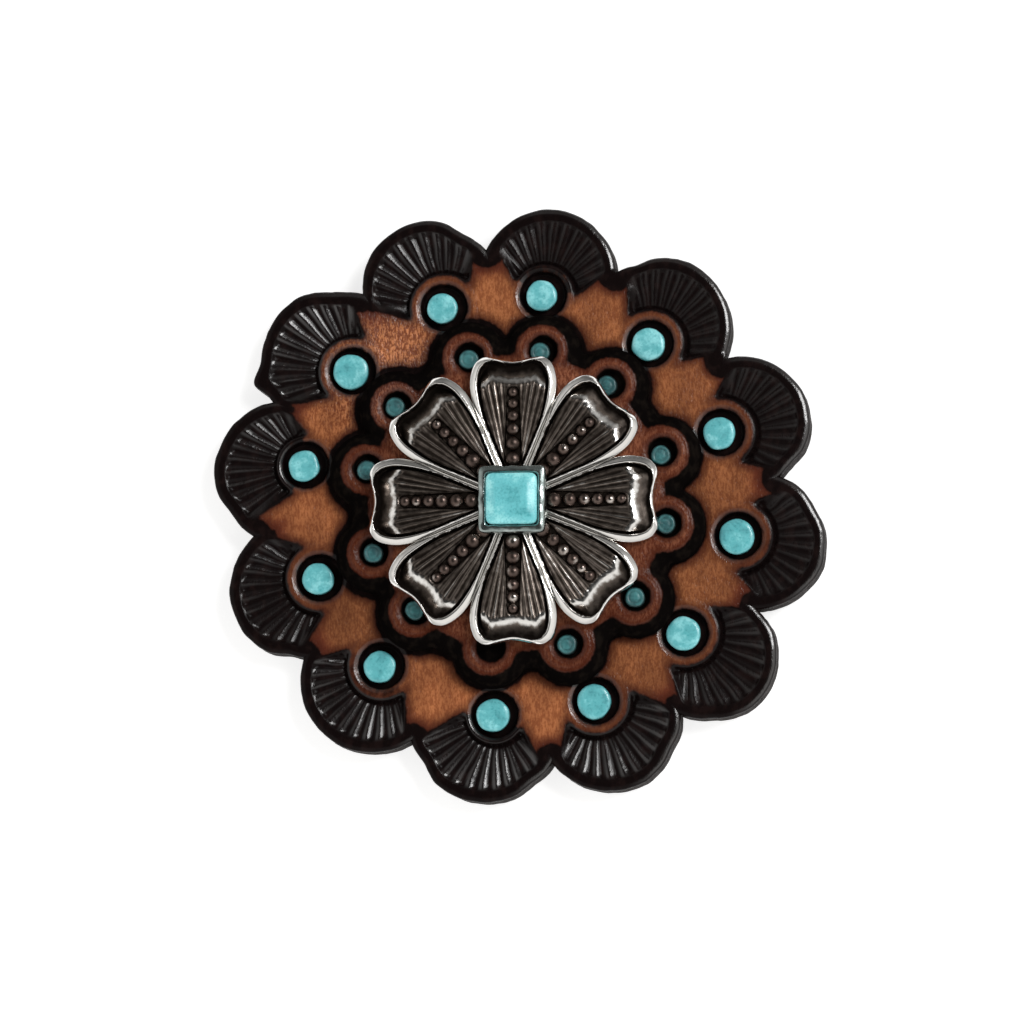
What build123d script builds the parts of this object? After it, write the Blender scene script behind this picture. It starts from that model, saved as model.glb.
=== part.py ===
"""A concho: two scalloped leather rosettes, turquoise spots in sunk seats, and a cast metal flower.

Lengths are millimetres. The concho lies face up on its flat back, with +Z out of its face and +Y to its top.
The origin is on the axis of the hidden screw post, at the back plane.
"""

from build123d import *

import os
from math import atan2, cos, degrees, hypot, radians, sin, sqrt, tan

os.makedirs("parts", exist_ok=True)

# Small leather rosette: its ring of seats, its lobes, and the waist between them
inner_ring_radius = 15.86
inner_foot_height = 1.3
inner_bevel_height = 1.3
inner_crown_height = 0.4
inner_foot_radius = 4.0
inner_crown_radius = 2.75
inner_waist_foot_step = 1.44
inner_waist_crown_step = -0.46

# Seats and domed spots of the small rosette
inner_seat_radius = 1.4
inner_seat_depth = 1.1
inner_seat_dish = 0.3
inner_spot_ring = 0.32
inner_spot_dome = 0.3
inner_spot_drop = 0.2

# Large leather rosette: its ring of seats lies outside the small one's, and the scallops outside that
outer_ring_step = 6.49
scallop_tip_step = 9.41
scallop_notch_step = 5.25
base_thickness = 4.0
base_edge_bevel = 0.4
base_back_bevel = 0.3

# Seats and domed spots of the large rosette
outer_seat_radius = 2.45
outer_seat_depth = 1.0
outer_spot_ring = 0.72
outer_spot_dome = 0.5
outer_spot_rise = 0.15

# Fan stamped on each scallop of the large rosette
fan_ring_width = 1.25
fan_border = 1.15
fan_depth = 0.4
fan_inner_half_angle = 76.0
fan_outer_half_angle = 57.0
flutes_per_fan = 11
flute_depth = 0.4
flute_fill = 0.56
flute_end_gap = 0.25

# Cast flower: the plan of a petal, pointing along +X, and the relief on it
petal_count = 8
petal_length = 14.56
petal_corner_lead = 0.42
petal_corner_half = 2.76
petal_belly_setback = 2.46
petal_belly_half = 4.5
petal_shoulder_bulge = 0.55
petal_split_setback = 4.46
petal_root_reach = 2.6
plate_thickness = 0.75
rim_width = 0.8
rim_height = 1.05
channel_width = 0.3
tray_height = 0.7
tray_edge_bevel = 0.45

# Ribs and bead row on each petal
rib_rows = 3
rib_first_bearing = 6.2
rib_last_bearing = 13.4
rib_width = 0.24
rib_height = 0.16
rib_end_margin = 0.9
bead_count = 6
bead_radius = 0.66
bead_start_margin = 1.0
bead_end_margin = 2.0
bead_sink = 0.2
groove_depth = 0.22
groove_margin = 0.1

# Bezel and centre stone
bezel_side = 7.0
bezel_wall = 0.75
bezel_height = 2.15
stone_seat_height = 0.6
stone_girdle_height = 1.75
stone_crown_height = 0.6
stone_table_inset = 0.85
stone_corner_round = 0.35

# Screw post, hidden behind the flower
post_radius = 3.0
post_flange_radius = 5.0
post_flange_thickness = 0.8
post_thread_radius = 2.08
post_thread_depth = 6.0

# Clearances
layer_gap = 0.05
seat_gap = 0.05
stone_clearance = 0.1
post_clearance = 0.08

# The scallops, cut by hand: bearings in degrees, and radii as shares of the mean ones above.
# A row holds one scallop: its tip, the notch after it, its seat, and the size of its spot.
scallop_columns = (
    "tip_bearing", "tip_share", "notch_bearing", "notch_share", "seat_bearing", "seat_share", "spot_share",
)
scallop_rows = [
    (20.0, 1.004, 35.0, 0.950, 19.0, 0.997, 0.98),
    (50.0, 0.980, 67.0, 0.958, 50.7, 0.966, 1.01),
    (81.0, 0.987, 97.0, 0.990, 83.6, 0.993, 0.94),
    (114.0, 1.009, 126.0, 1.020, 111.0, 1.000, 0.92),
    (143.0, 1.028, 156.5, 1.025, 141.0, 1.017, 1.09),
    (168.0, 1.016, 186.0, 1.018, 168.9, 1.031, 0.95),
    (199.0, 1.007, 215.0, 1.001, 199.5, 1.000, 0.97),
    (230.0, 0.986, 245.5, 0.982, 229.1, 0.992, 0.97),
    (261.0, 0.984, 277.5, 0.984, 263.2, 0.989, 1.01),
    (293.0, 1.003, 307.5, 1.007, 291.0, 0.988, 1.04),
    (323.0, 1.022, 336.0, 0.991, 321.7, 0.983, 1.03),
    (350.0, 1.020, 5.5, 0.998, 351.1, 1.033, 1.06),
]
scallops = [dict(zip(scallop_columns, row)) for row in scallop_rows]

# The seats of the small rosette: bearing, share of the ring's radius, and how far the spot has slid in its
# seat to the right and up, as shares of its free play. The seat at 260 degrees has lost its spot.
seat_columns = ("bearing", "share", "slide_right", "slide_up", "filled")
seat_rows = [
    (18, 1.010, -0.3, -0.8, True),
    (51, 0.985, -0.8, -0.2, True),
    (80, 1.010, -0.7, -0.4, True),
    (108, 1.005, 0.2, -0.5, True),
    (141, 1.015, -0.4, 0.1, True),
    (167, 1.010, 0.1, -0.2, True),
    (199, 0.995, 0.2, 0.0, True),
    (227, 0.970, 0.0, 0.3, True),
    (260, 0.975, 0.0, 0.0, False),
    (290, 1.000, -0.2, 0.1, True),
    (321, 1.005, 0.2, -0.1, True),
    (351, 1.000, 0.0, 0.1, True),
]
inner_seats = [dict(zip(seat_columns, row)) for row in seat_rows]

# Radii that follow from the sizes above
inner_waist_foot_radius = inner_ring_radius + inner_waist_foot_step
inner_waist_crown_radius = inner_ring_radius + inner_waist_crown_step
inner_spot_radius = inner_seat_radius - inner_spot_ring
outer_ring_radius = inner_ring_radius + outer_ring_step
outer_spot_radius = outer_seat_radius - outer_spot_ring
base_tip_radius = outer_ring_radius + scallop_tip_step
base_notch_radius = outer_ring_radius + scallop_notch_step
fan_inner_radius = outer_seat_radius + fan_ring_width
stone_side = bezel_side - 2 * bezel_wall - 2 * stone_clearance

# Heights that follow from the sizes above
inner_bottom = base_thickness + layer_gap
inner_top = inner_bottom + inner_foot_height + inner_bevel_height + inner_crown_height
flower_bottom = inner_top + layer_gap
plate_top = flower_bottom + plate_thickness
tray_top = plate_top + tray_height
bezel_top = plate_top + bezel_height
stone_bottom = plate_top + stone_seat_height + seat_gap

# The ridges of a fan are narrow wedges from its seat, as long as the rosette's radius
fan_span = 2 * fan_outer_half_angle
ridge_reach = base_tip_radius
ridge_half_width = ridge_reach * sin(radians(fan_span / flutes_per_fan * (1 - flute_fill) / 2))

# A petal's plan: its sides follow its sector until the petals part
half_sector = 180.0 / petal_count
petal_corner_reach = petal_length + petal_corner_lead
petal_belly_reach = petal_length - petal_belly_setback
petal_split_reach = petal_length - petal_split_setback
petal_split_half = petal_split_reach * tan(radians(half_sector))
petal_root_half = petal_root_reach * tan(radians(half_sector))
tray_inset = rim_width + channel_width
tray_end_reach = petal_length - tray_inset

# The bead row of a petal, in its groove
bead_first_reach = bezel_side / 2 + bead_start_margin
bead_last_reach = tray_end_reach - bead_end_margin
bead_pitch = (bead_last_reach - bead_first_reach) / (bead_count - 1)
bead_centre = tray_top - bead_sink
groove_half = bead_radius + groove_margin
groove_start = bead_first_reach - groove_half
groove_end = bead_last_reach + groove_half


def polar(bearing, radius):
    """A point at a bearing in degrees and a radius from the origin."""
    return radius * cos(radians(bearing)), radius * sin(radians(bearing))


def from_point(start, bearing, distance):
    """The point a distance away from another, at a bearing in degrees."""
    return start[0] + distance * cos(radians(bearing)), start[1] + distance * sin(radians(bearing))


def bearing_between(start, end):
    """The bearing in degrees from one point to another."""
    return degrees(atan2(end[1] - start[1], end[0] - start[0]))


def circle_through(p, q, r):
    """The centre and radius of the circle through three points."""
    d = 2 * (p[0] * (q[1] - r[1]) + q[0] * (r[1] - p[1]) + r[0] * (p[1] - q[1]))
    pp, qq, rr = (point[0] ** 2 + point[1] ** 2 for point in (p, q, r))
    x = (pp * (q[1] - r[1]) + qq * (r[1] - p[1]) + rr * (p[1] - q[1])) / d
    y = (pp * (r[0] - q[0]) + qq * (p[0] - r[0]) + rr * (q[0] - p[0])) / d
    return (x, y), hypot(p[0] - x, p[1] - y)


def reach_to_circle(start, bearing, centre, radius):
    """How far a ray that starts inside a circle runs before it meets the circle."""
    dx, dy = cos(radians(bearing)), sin(radians(bearing))
    ox, oy = start[0] - centre[0], start[1] - centre[1]
    along = ox * dx + oy * dy
    return -along + sqrt(along ** 2 - (ox ** 2 + oy ** 2 - radius ** 2))


def scallop_points(index):
    """The notch before a scallop, its tip and the notch after it."""
    before, own = scallops[index - 1], scallops[index]
    return (
        polar(before["notch_bearing"], base_notch_radius * before["notch_share"]),
        polar(own["tip_bearing"], base_tip_radius * own["tip_share"]),
        polar(own["notch_bearing"], base_notch_radius * own["notch_share"]),
    )


def outer_seat(index):
    """The centre of a seat in the large rosette."""
    return polar(scallops[index]["seat_bearing"], outer_ring_radius * scallops[index]["seat_share"])


def inner_seat(seat):
    """The centre of a seat in the small rosette."""
    return polar(seat["bearing"], inner_ring_radius * seat["share"])


def fan_frame(index):
    """A fan's centre, its middle bearing, and the circle that its outer edge follows."""
    start, tip, end = scallop_points(index)
    centre, radius = circle_through(start, tip, end)
    seat = outer_seat(index)
    return seat, bearing_between(seat, tip), centre, radius - fan_border


def fan_point(index, angle):
    """Where a ray from the fan's seat, at an angle from its middle, meets the fan's outer edge."""
    seat, middle, centre, radius = fan_frame(index)
    bearing = middle + angle
    return from_point(seat, bearing, reach_to_circle(seat, bearing, centre, radius))


def fan_plan(index):
    """A fan seen from above: its inner edge goes round the seat, and its outer edge along the scallop."""
    seat, middle, _, _ = fan_frame(index)
    low = from_point(seat, middle - fan_inner_half_angle, fan_inner_radius)
    mid = from_point(seat, middle, fan_inner_radius)
    high = from_point(seat, middle + fan_inner_half_angle, fan_inner_radius)
    low_end, mid_end, high_end = (fan_point(index, turn * fan_outer_half_angle) for turn in (-1, 0, 1))
    with BuildSketch() as fan:
        with BuildLine():
            ThreePointArc(low, mid, high)
            Line(high, high_end)
            ThreePointArc(high_end, mid_end, low_end)
            Line(low_end, low)
        make_face()
    return fan.sketch


# Large leather rosette: the outline is one arc to each scallop
with BuildPart() as base_rosette:
    with BuildSketch():
        with BuildLine():
            for index in range(len(scallops)):
                ThreePointArc(*scallop_points(index))
        make_face()
    extrude(amount=base_thickness)
    chamfer(base_rosette.faces().sort_by(Axis.Z)[-1].edges(), length=base_edge_bevel)
    chamfer(base_rosette.faces().sort_by(Axis.Z)[0].edges(), length=base_back_bevel)

    # The sunk floor of each fan, then the flutes between its ridges, which fan out from the seat
    for index in range(len(scallops)):
        with BuildSketch(Plane.XY.offset(base_thickness)):
            add(fan_plan(index))
    extrude(amount=-fan_depth, mode=Mode.SUBTRACT)
    for index in range(len(scallops)):
        seat, middle, _, _ = fan_frame(index)
        with BuildSketch(Plane.XY.offset(base_thickness - fan_depth)):
            add(fan_plan(index))
            offset(amount=-flute_end_gap)
            with Locations(Location((*seat, 0), (0, 0, middle))):
                with PolarLocations(0, flutes_per_fan + 1, -fan_outer_half_angle, fan_span, endpoint=True):
                    Polygon(
                        (0, 0),
                        (ridge_reach, -ridge_half_width),
                        (ridge_reach, ridge_half_width),
                        mode=Mode.SUBTRACT,
                    )
    extrude(amount=-flute_depth, mode=Mode.SUBTRACT)

    # Seats for the spots, and the hole and the recess for the post
    with Locations(*[(*outer_seat(index), base_thickness) for index in range(len(scallops))]):
        Hole(outer_seat_radius, depth=outer_seat_depth)
    with Locations(Plane.XY.offset(base_thickness)):
        Hole(post_radius + post_clearance)
    with BuildSketch():
        Circle(post_flange_radius + post_clearance)
    extrude(amount=post_flange_thickness + layer_gap, mode=Mode.SUBTRACT)

base_rosette.part.label = "base_rosette"
export_step(base_rosette.part, "parts/base_rosette.step")

# Small leather rosette: a lobe round each seat on a round middle, with a bevelled wall above its foot
with BuildPart() as inner_rosette:
    lobes = [inner_seat(seat) for seat in inner_seats]
    foot_middle = inner_bottom + inner_foot_height / 2
    bevel_middle = inner_bottom + inner_foot_height + inner_bevel_height / 2
    crown_middle = inner_top - inner_crown_height / 2
    with Locations(*[(x, y, foot_middle) for x, y in lobes]):
        Cylinder(inner_foot_radius, inner_foot_height)
    with Locations(*[(x, y, bevel_middle) for x, y in lobes]):
        Cone(inner_foot_radius, inner_crown_radius, inner_bevel_height)
    with Locations(*[(x, y, crown_middle) for x, y in lobes]):
        Cylinder(inner_crown_radius, inner_crown_height)
    with Locations((0, 0, foot_middle)):
        Cylinder(inner_waist_foot_radius, inner_foot_height)
    with Locations((0, 0, bevel_middle)):
        Cone(inner_waist_foot_radius, inner_waist_crown_radius, inner_bevel_height)
    with Locations((0, 0, crown_middle)):
        Cylinder(inner_waist_crown_radius, inner_crown_height)
    with Locations(*[(x, y, inner_top) for x, y in lobes]):
        CounterSinkHole(
            inner_seat_radius,
            counter_sink_radius=inner_seat_radius + inner_seat_dish,
            depth=inner_seat_depth,
            counter_sink_angle=90,
        )
    with Locations(Plane.XY.offset(inner_top)):
        Hole(post_radius + post_clearance)

inner_rosette.part.label = "inner_rosette"
export_step(inner_rosette.part, "parts/inner_rosette.step")

# One petal's plan, pointing along +X: straight to where the petals part, then round to the notched end
root_corner = (petal_root_reach, petal_root_half)
split_point = (petal_split_reach, petal_split_half)
belly = (petal_belly_reach, petal_belly_half)
corner = (petal_corner_reach, petal_corner_half)
chord = hypot(corner[0] - belly[0], corner[1] - belly[1])
shoulder = (
    (belly[0] + corner[0]) / 2 + petal_shoulder_bulge * (belly[1] - corner[1]) / chord,
    (belly[1] + corner[1]) / 2 + petal_shoulder_bulge * (corner[0] - belly[0]) / chord,
)
with BuildSketch() as petal:
    with BuildLine():
        Polyline((petal_root_reach, 0), root_corner, split_point, belly)
        ThreePointArc(belly, shoulder, corner)
        ThreePointArc(corner, (petal_length, 0), (corner[0], -corner[1]))
        mirror(about=Plane.XZ)
    make_face()

with BuildSketch() as petal_rim:
    add(petal.sketch)
    offset(amount=-rim_width, mode=Mode.SUBTRACT)

with BuildSketch() as petal_tray:
    add(petal.sketch)
    offset(amount=-tray_inset, mode=Mode.REPLACE)

# Cast flower: the plate, a rim round each petal, a ribbed tray with a row of beads in it, and the bezel
with BuildPart() as flower:
    with BuildSketch(Plane.XY.offset(flower_bottom)):
        with PolarLocations(0, petal_count):
            add(petal.sketch)
        Circle(bezel_side / 2)
    extrude(amount=plate_thickness)
    with BuildSketch(Plane.XY.offset(plate_top)):
        with PolarLocations(0, petal_count):
            add(petal_rim.sketch)
    extrude(amount=rim_height)

    # The raised tray of each petal, its edge bevelled, with a groove for the beads
    with BuildSketch(Plane.XY.offset(plate_top)):
        with PolarLocations(0, petal_count):
            add(petal_tray.sketch)
    extrude(amount=tray_height)
    tray_rims = flower.faces().filter_by_position(Axis.Z, tray_top, tray_top).edges()
    chamfer(tray_rims.filter_by(lambda edge: edge.center().length > tray_end_reach), length=tray_edge_bevel)
    with BuildSketch(Plane.XY.offset(tray_top)):
        with PolarLocations(0, petal_count):
            with Locations(((groove_start + groove_end) / 2, 0)):
                Rectangle(groove_end - groove_start, 2 * groove_half)
    extrude(amount=-groove_depth, mode=Mode.SUBTRACT)

    # Fine ribs on both sides of the groove, spreading from the flower's middle
    with BuildSketch(Plane.XY.offset(tray_top)):
        for row in range(rib_rows):
            bearing = rib_first_bearing + row * (rib_last_bearing - rib_first_bearing) / (rib_rows - 1)
            start = max(bezel_side * sqrt(0.5), (groove_half + rib_width) / sin(radians(bearing)))
            end = tray_end_reach - rib_end_margin
            for side in (-1, 1):
                with Locations(Rotation(0, 0, side * bearing)):
                    with PolarLocations((start + end) / 2, petal_count):
                        Rectangle(end - start, rib_width)
    extrude(amount=rib_height)

    # The bead row of each petal
    with PolarLocations(0, petal_count):
        with Locations(*[(bead_first_reach + k * bead_pitch, 0, bead_centre) for k in range(bead_count)]):
            Sphere(bead_radius)

    # The square bezel, and the pocket that the stone drops into
    with BuildSketch(Plane.XY.offset(plate_top)):
        Rectangle(bezel_side, bezel_side)
    extrude(amount=bezel_height)
    with BuildSketch(Plane.XY.offset(bezel_top)):
        Rectangle(bezel_side - 2 * bezel_wall, bezel_side - 2 * bezel_wall)
    extrude(amount=-(bezel_height - stone_seat_height), mode=Mode.SUBTRACT)

flower.part.label = "flower"
export_step(flower.part, "parts/flower.step")

# Centre stone: a square block with rounded corners, whose four slopes rise to a small table
with BuildPart() as centre_stone:
    with BuildSketch(Plane.XY.offset(stone_bottom)):
        RectangleRounded(stone_side, stone_side, stone_corner_round)
    extrude(amount=stone_girdle_height)
    stone_table = stone_side - 2 * stone_table_inset
    with BuildSketch(Plane.XY.offset(stone_bottom + stone_girdle_height)):
        RectangleRounded(stone_side, stone_side, stone_corner_round)
    with BuildSketch(Plane.XY.offset(stone_bottom + stone_girdle_height + stone_crown_height)):
        RectangleRounded(stone_table, stone_table, stone_corner_round)
    loft()

centre_stone.part.label = "centre_stone"
export_step(centre_stone.part, "parts/centre_stone.step")


def domed_spot(place, radius, side, dome):
    """A round spot with a flat foot, a straight side and a domed top, standing at a place."""
    foot = Plane(origin=place, x_dir=(1, 0, 0), z_dir=(0, -1, 0))
    with BuildPart() as spot:
        with BuildSketch(foot):
            with BuildLine():
                Polyline((0, side + dome), (0, 0), (radius, 0), (radius, side))
                TangentArc((0, side + dome), (radius, side), tangent=(1, 0))
            make_face()
        revolve(axis=Axis(place, (0, 0, 1)))
    return spot.part


# Spots of the large rosette, one to each seat
outer_spot_side = outer_seat_depth + outer_spot_rise - outer_spot_dome - seat_gap
for index, row in enumerate(scallops):
    place = (*outer_seat(index), base_thickness - outer_seat_depth + seat_gap)
    with BuildPart() as outer_spot:
        add(domed_spot(place, outer_spot_radius * row["spot_share"], outer_spot_side, outer_spot_dome))
    outer_spot.part.label = f"outer_spot_{index + 1:02d}"
    export_step(outer_spot.part, f"parts/{outer_spot.part.label}.step")

# Spots of the small rosette, each slid a little in its seat
inner_spot_side = inner_seat_depth - inner_spot_drop - inner_spot_dome - seat_gap
free_play = inner_spot_ring - seat_gap
for index, seat in enumerate(seat for seat in inner_seats if seat["filled"]):
    x, y = inner_seat(seat)
    slid = (x + free_play * seat["slide_right"], y + free_play * seat["slide_up"])
    place = (*slid, inner_top - inner_seat_depth + seat_gap)
    with BuildPart() as inner_spot:
        add(domed_spot(place, inner_spot_radius, inner_spot_side, inner_spot_dome))
    inner_spot.part.label = f"inner_spot_{index + 1:02d}"
    export_step(inner_spot.part, f"parts/{inner_spot.part.label}.step")

# Screw post: a flange let into the back, and a barrel with a blind threaded hole that opens at the back
with BuildPart() as screw_post:
    with BuildSketch():
        Circle(post_flange_radius)
    extrude(amount=post_flange_thickness)
    with BuildSketch():
        Circle(post_radius)
    extrude(amount=inner_top)
    with BuildSketch():
        Circle(post_thread_radius)
    extrude(amount=post_thread_depth, mode=Mode.SUBTRACT)

screw_post.part.label = "screw_post"
export_step(screw_post.part, "parts/screw_post.step")
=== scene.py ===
"""The looks of a leather concho: two tooled rosettes, turquoise spots in seats, and a cast silver flower.

Sizes in the classes are millimetres. They become metres when a mesh or a light is made.
"""

import functools
import itertools
import logging
import math
from dataclasses import dataclass, field
from enum import Enum

import bmesh
import bpy
import numpy as np
from mathutils import Matrix, Vector


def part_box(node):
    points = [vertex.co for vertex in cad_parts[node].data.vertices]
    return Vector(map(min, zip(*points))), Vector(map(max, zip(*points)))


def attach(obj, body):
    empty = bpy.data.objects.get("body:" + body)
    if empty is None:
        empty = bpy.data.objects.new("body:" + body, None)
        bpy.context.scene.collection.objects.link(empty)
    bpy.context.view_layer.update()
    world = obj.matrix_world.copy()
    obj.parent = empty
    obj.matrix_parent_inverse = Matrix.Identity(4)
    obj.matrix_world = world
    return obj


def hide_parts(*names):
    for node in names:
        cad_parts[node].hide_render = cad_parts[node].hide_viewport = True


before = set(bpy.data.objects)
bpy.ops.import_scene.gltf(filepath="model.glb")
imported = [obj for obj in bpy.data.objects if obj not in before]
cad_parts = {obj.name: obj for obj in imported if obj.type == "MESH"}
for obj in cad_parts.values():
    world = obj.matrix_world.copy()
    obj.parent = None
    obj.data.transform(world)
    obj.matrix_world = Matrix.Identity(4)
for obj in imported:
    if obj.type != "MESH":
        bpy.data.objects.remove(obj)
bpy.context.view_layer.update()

log = logging.getLogger("concho")

MM = 0.001
WELD = 1e-5 * MM
BODY = "root"
NOISE_FACTORS = (73856093, 19349663, 83492791)
NOISE_SEED = 2654435761
NOISE_SCRAMBLE = ((13, 1274126177), (16, 668265263))
LOW_BITS = 0x7FFFFFFF

Colour = tuple[float, float, float, float]
Socket = bpy.types.NodeSocket


class Slot(Enum):
    """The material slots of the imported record."""

    LEATHER = "tooled_leather"
    SILVER = "antiqued_silver"
    STONE = "turquoise_stone"
    SPOT = "turquoise_spot"


class Face(Enum):
    """Which layer of a rosette a stretch of its mesh belongs to."""

    GRAIN = 0.0
    EDGE = 0.5
    FLESH = 1.0


# Plane geometry


def polar(bearing: float, radius: float) -> np.ndarray:
    """A point at a bearing in degrees and a radius from the origin."""
    return radius * np.array([math.cos(math.radians(bearing)), math.sin(math.radians(bearing))])


def directions(bearings: np.ndarray) -> np.ndarray:
    """Unit directions at bearings in radians."""
    return np.stack([np.cos(bearings), np.sin(bearings)], -1)


def unit_circle(count: int) -> np.ndarray:
    """Evenly spaced points of a circle of radius 1, counter-clockwise from +X."""
    return directions(np.linspace(0, math.tau, count, endpoint=False))


def rounded_square(count: int, sharpness: float) -> np.ndarray:
    """A square of half width 1 with rounded corners, counter-clockwise from the middle of its right side."""
    way = unit_circle(count)
    return way / (np.abs(way) ** sharpness).sum(1, keepdims=True) ** (1 / sharpness)


def bearing_from(start: np.ndarray, end: np.ndarray) -> float:
    """The bearing in radians at which one point sees another."""
    return math.atan2(*(end - start)[::-1])


def centred(angle: np.ndarray | float) -> np.ndarray | float:
    """An angle in radians, brought to within half a turn of 0."""
    return (angle + math.pi) % math.tau - math.pi


def circle_through(p: np.ndarray, q: np.ndarray, r: np.ndarray) -> tuple[np.ndarray, float]:
    """The circle through three points.

    Returns:
        Its centre and its radius.
    """
    system = 2 * np.array([q - p, r - p])
    centre = np.linalg.solve(system, np.array([q @ q - p @ p, r @ r - p @ p]))
    return centre, float(np.linalg.norm(p - centre))


def reach_to_circle(start: np.ndarray, rays: np.ndarray, centre: np.ndarray, radius: float) -> np.ndarray:
    """How far rays that start inside a circle run before they meet it.

    Args:
        start: Where the rays start.
        rays: Their unit directions, one to a row.
        centre: The circle's centre.
        radius: The circle's radius.

    Returns:
        One distance for each ray.
    """
    away = start - centre
    along = rays @ away
    return -along + np.sqrt(np.maximum(along ** 2 - (away @ away - radius ** 2), 0.0))


def ease(value: np.ndarray | float) -> np.ndarray:
    """A smooth step from 0 to 1 as the value goes from 0 to 1."""
    t = np.clip(value, 0.0, 1.0)
    return t * t * (3 - 2 * t)


def rounded_meet(first: np.ndarray, second: np.ndarray, radius: float) -> np.ndarray:
    """The depth inside two edges at once, with their corner rounded.

    Args:
        first: Depth inside the first edge, positive inside.
        second: Depth inside the second edge.
        radius: The corner's radius.

    Returns:
        Depth inside both, positive inside.
    """
    a = radius - first
    b = radius - second
    return radius - np.hypot(np.maximum(a, 0), np.maximum(b, 0)) - np.minimum(np.maximum(a, b), 0)


def soft_noise(points: np.ndarray, pitch: float, seed: int) -> np.ndarray:
    """Smooth noise from -1 to 1.

    Args:
        points: Where it is wanted, one point to a row of the last axis.
        pitch: The size of its cells.
        seed: Which noise it is.

    Returns:
        One value for each point.
    """
    cell = points / pitch
    low = np.floor(cell).astype(np.int64)
    share = ease(cell - low)
    total = np.zeros(points.shape[:-1])
    for corner in itertools.product((0, 1), repeat=points.shape[-1]):
        key = np.full(total.shape, seed * NOISE_SEED, dtype=np.int64)
        weight = np.ones(total.shape)
        for axis, step in enumerate(corner):
            key = key ^ ((low[..., axis] + step) * NOISE_FACTORS[axis])
            weight = weight * (share[..., axis] if step else 1 - share[..., axis])
        for shift, factor in NOISE_SCRAMBLE:
            key = ((key ^ (key >> shift)) * factor) & LOW_BITS
        total += weight * (key / (LOW_BITS // 2) - 1)
    return total


def soft_shift(plan: np.ndarray, pitch: float, seed: int) -> np.ndarray:
    """Smooth noise from -1 to 1 along each of two axes."""
    return np.stack([soft_noise(plan, pitch, seed), soft_noise(plan, pitch, seed + 1)], -1)


def with_height(plan: np.ndarray, height: np.ndarray | float) -> np.ndarray:
    """Plane points given a height each."""
    level = np.broadcast_to(height, plan.shape[:-1])
    return np.concatenate([plan, level[..., None]], -1)


def ray_grid(centre: np.ndarray, ends: np.ndarray, near: np.ndarray, shares: np.ndarray) -> np.ndarray:
    """Points on rays from a seat's centre to its lobe's boundary.

    Args:
        centre: The seat's centre.
        ends: Where the rays end, one to a row.
        near: Distances from the centre that all rays share.
        shares: For each ray, rising shares of what is left beyond the last of those.

    Returns:
        An array by ray, by ring, of x and y.
    """
    ray = ends - centre
    reach = np.linalg.norm(ray, axis=1, keepdims=True)
    outer = near[-1] + shares * (reach - near[-1])
    radii = np.concatenate([np.broadcast_to(near, (len(ends), len(near))), outer], axis=1)
    return centre + (ray / reach)[:, None, :] * radii[:, :, None]


def way_round_middle(before: np.ndarray, after: np.ndarray, radius: float, sides: np.ndarray,
                     count: int) -> np.ndarray:
    """A lobe's boundary from the end of its rim, round the object's middle, to the start of its rim.

    Args:
        before: Where the rim starts.
        after: Where the rim ends.
        radius: The middle's radius.
        sides: Rising shares of the way in from the rim.
        count: How many points lie on the middle's circle between the sides.

    Returns:
        The points.
    """
    inner = [radius * end / np.linalg.norm(end) for end in (before, after)]
    falling = after + sides[:, None] * (inner[1] - after)
    rising = (before + sides[:, None] * (inner[0] - before))[::-1]
    chord = inner[1] + np.linspace(0, 1, count + 2)[1:-1, None] * (inner[0] - inner[1])
    arc = chord / np.linalg.norm(chord, axis=1, keepdims=True) * radius
    return np.concatenate([falling, arc, rising])


# Meshes


def show(name: str, data: bpy.types.ID) -> bpy.types.Object:
    """Puts a mesh, a light or a camera in the scene."""
    made = bpy.data.objects.new(name, data)
    bpy.context.scene.collection.objects.link(made)
    return made


def store(mesh: bpy.types.Mesh, values: dict[str, np.ndarray]) -> None:
    """Stores named values on the points of a mesh."""
    for key, numbers in values.items():
        layer = mesh.attributes.new(key, "FLOAT", "POINT")
        layer.data.foreach_set("value", np.asarray(numbers, np.float32))


def weld_mesh(mesh: bpy.types.Mesh) -> None:
    """Joins the points of a mesh that lie in one place, and turns its faces outwards."""
    work = bmesh.new()
    work.from_mesh(mesh)
    bmesh.ops.remove_doubles(work, verts=work.verts, dist=WELD)
    bmesh.ops.dissolve_degenerate(work, edges=work.edges, dist=WELD)
    bmesh.ops.recalc_face_normals(work, faces=work.faces)
    work.to_mesh(mesh)
    work.free()
    mesh.validate()


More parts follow.
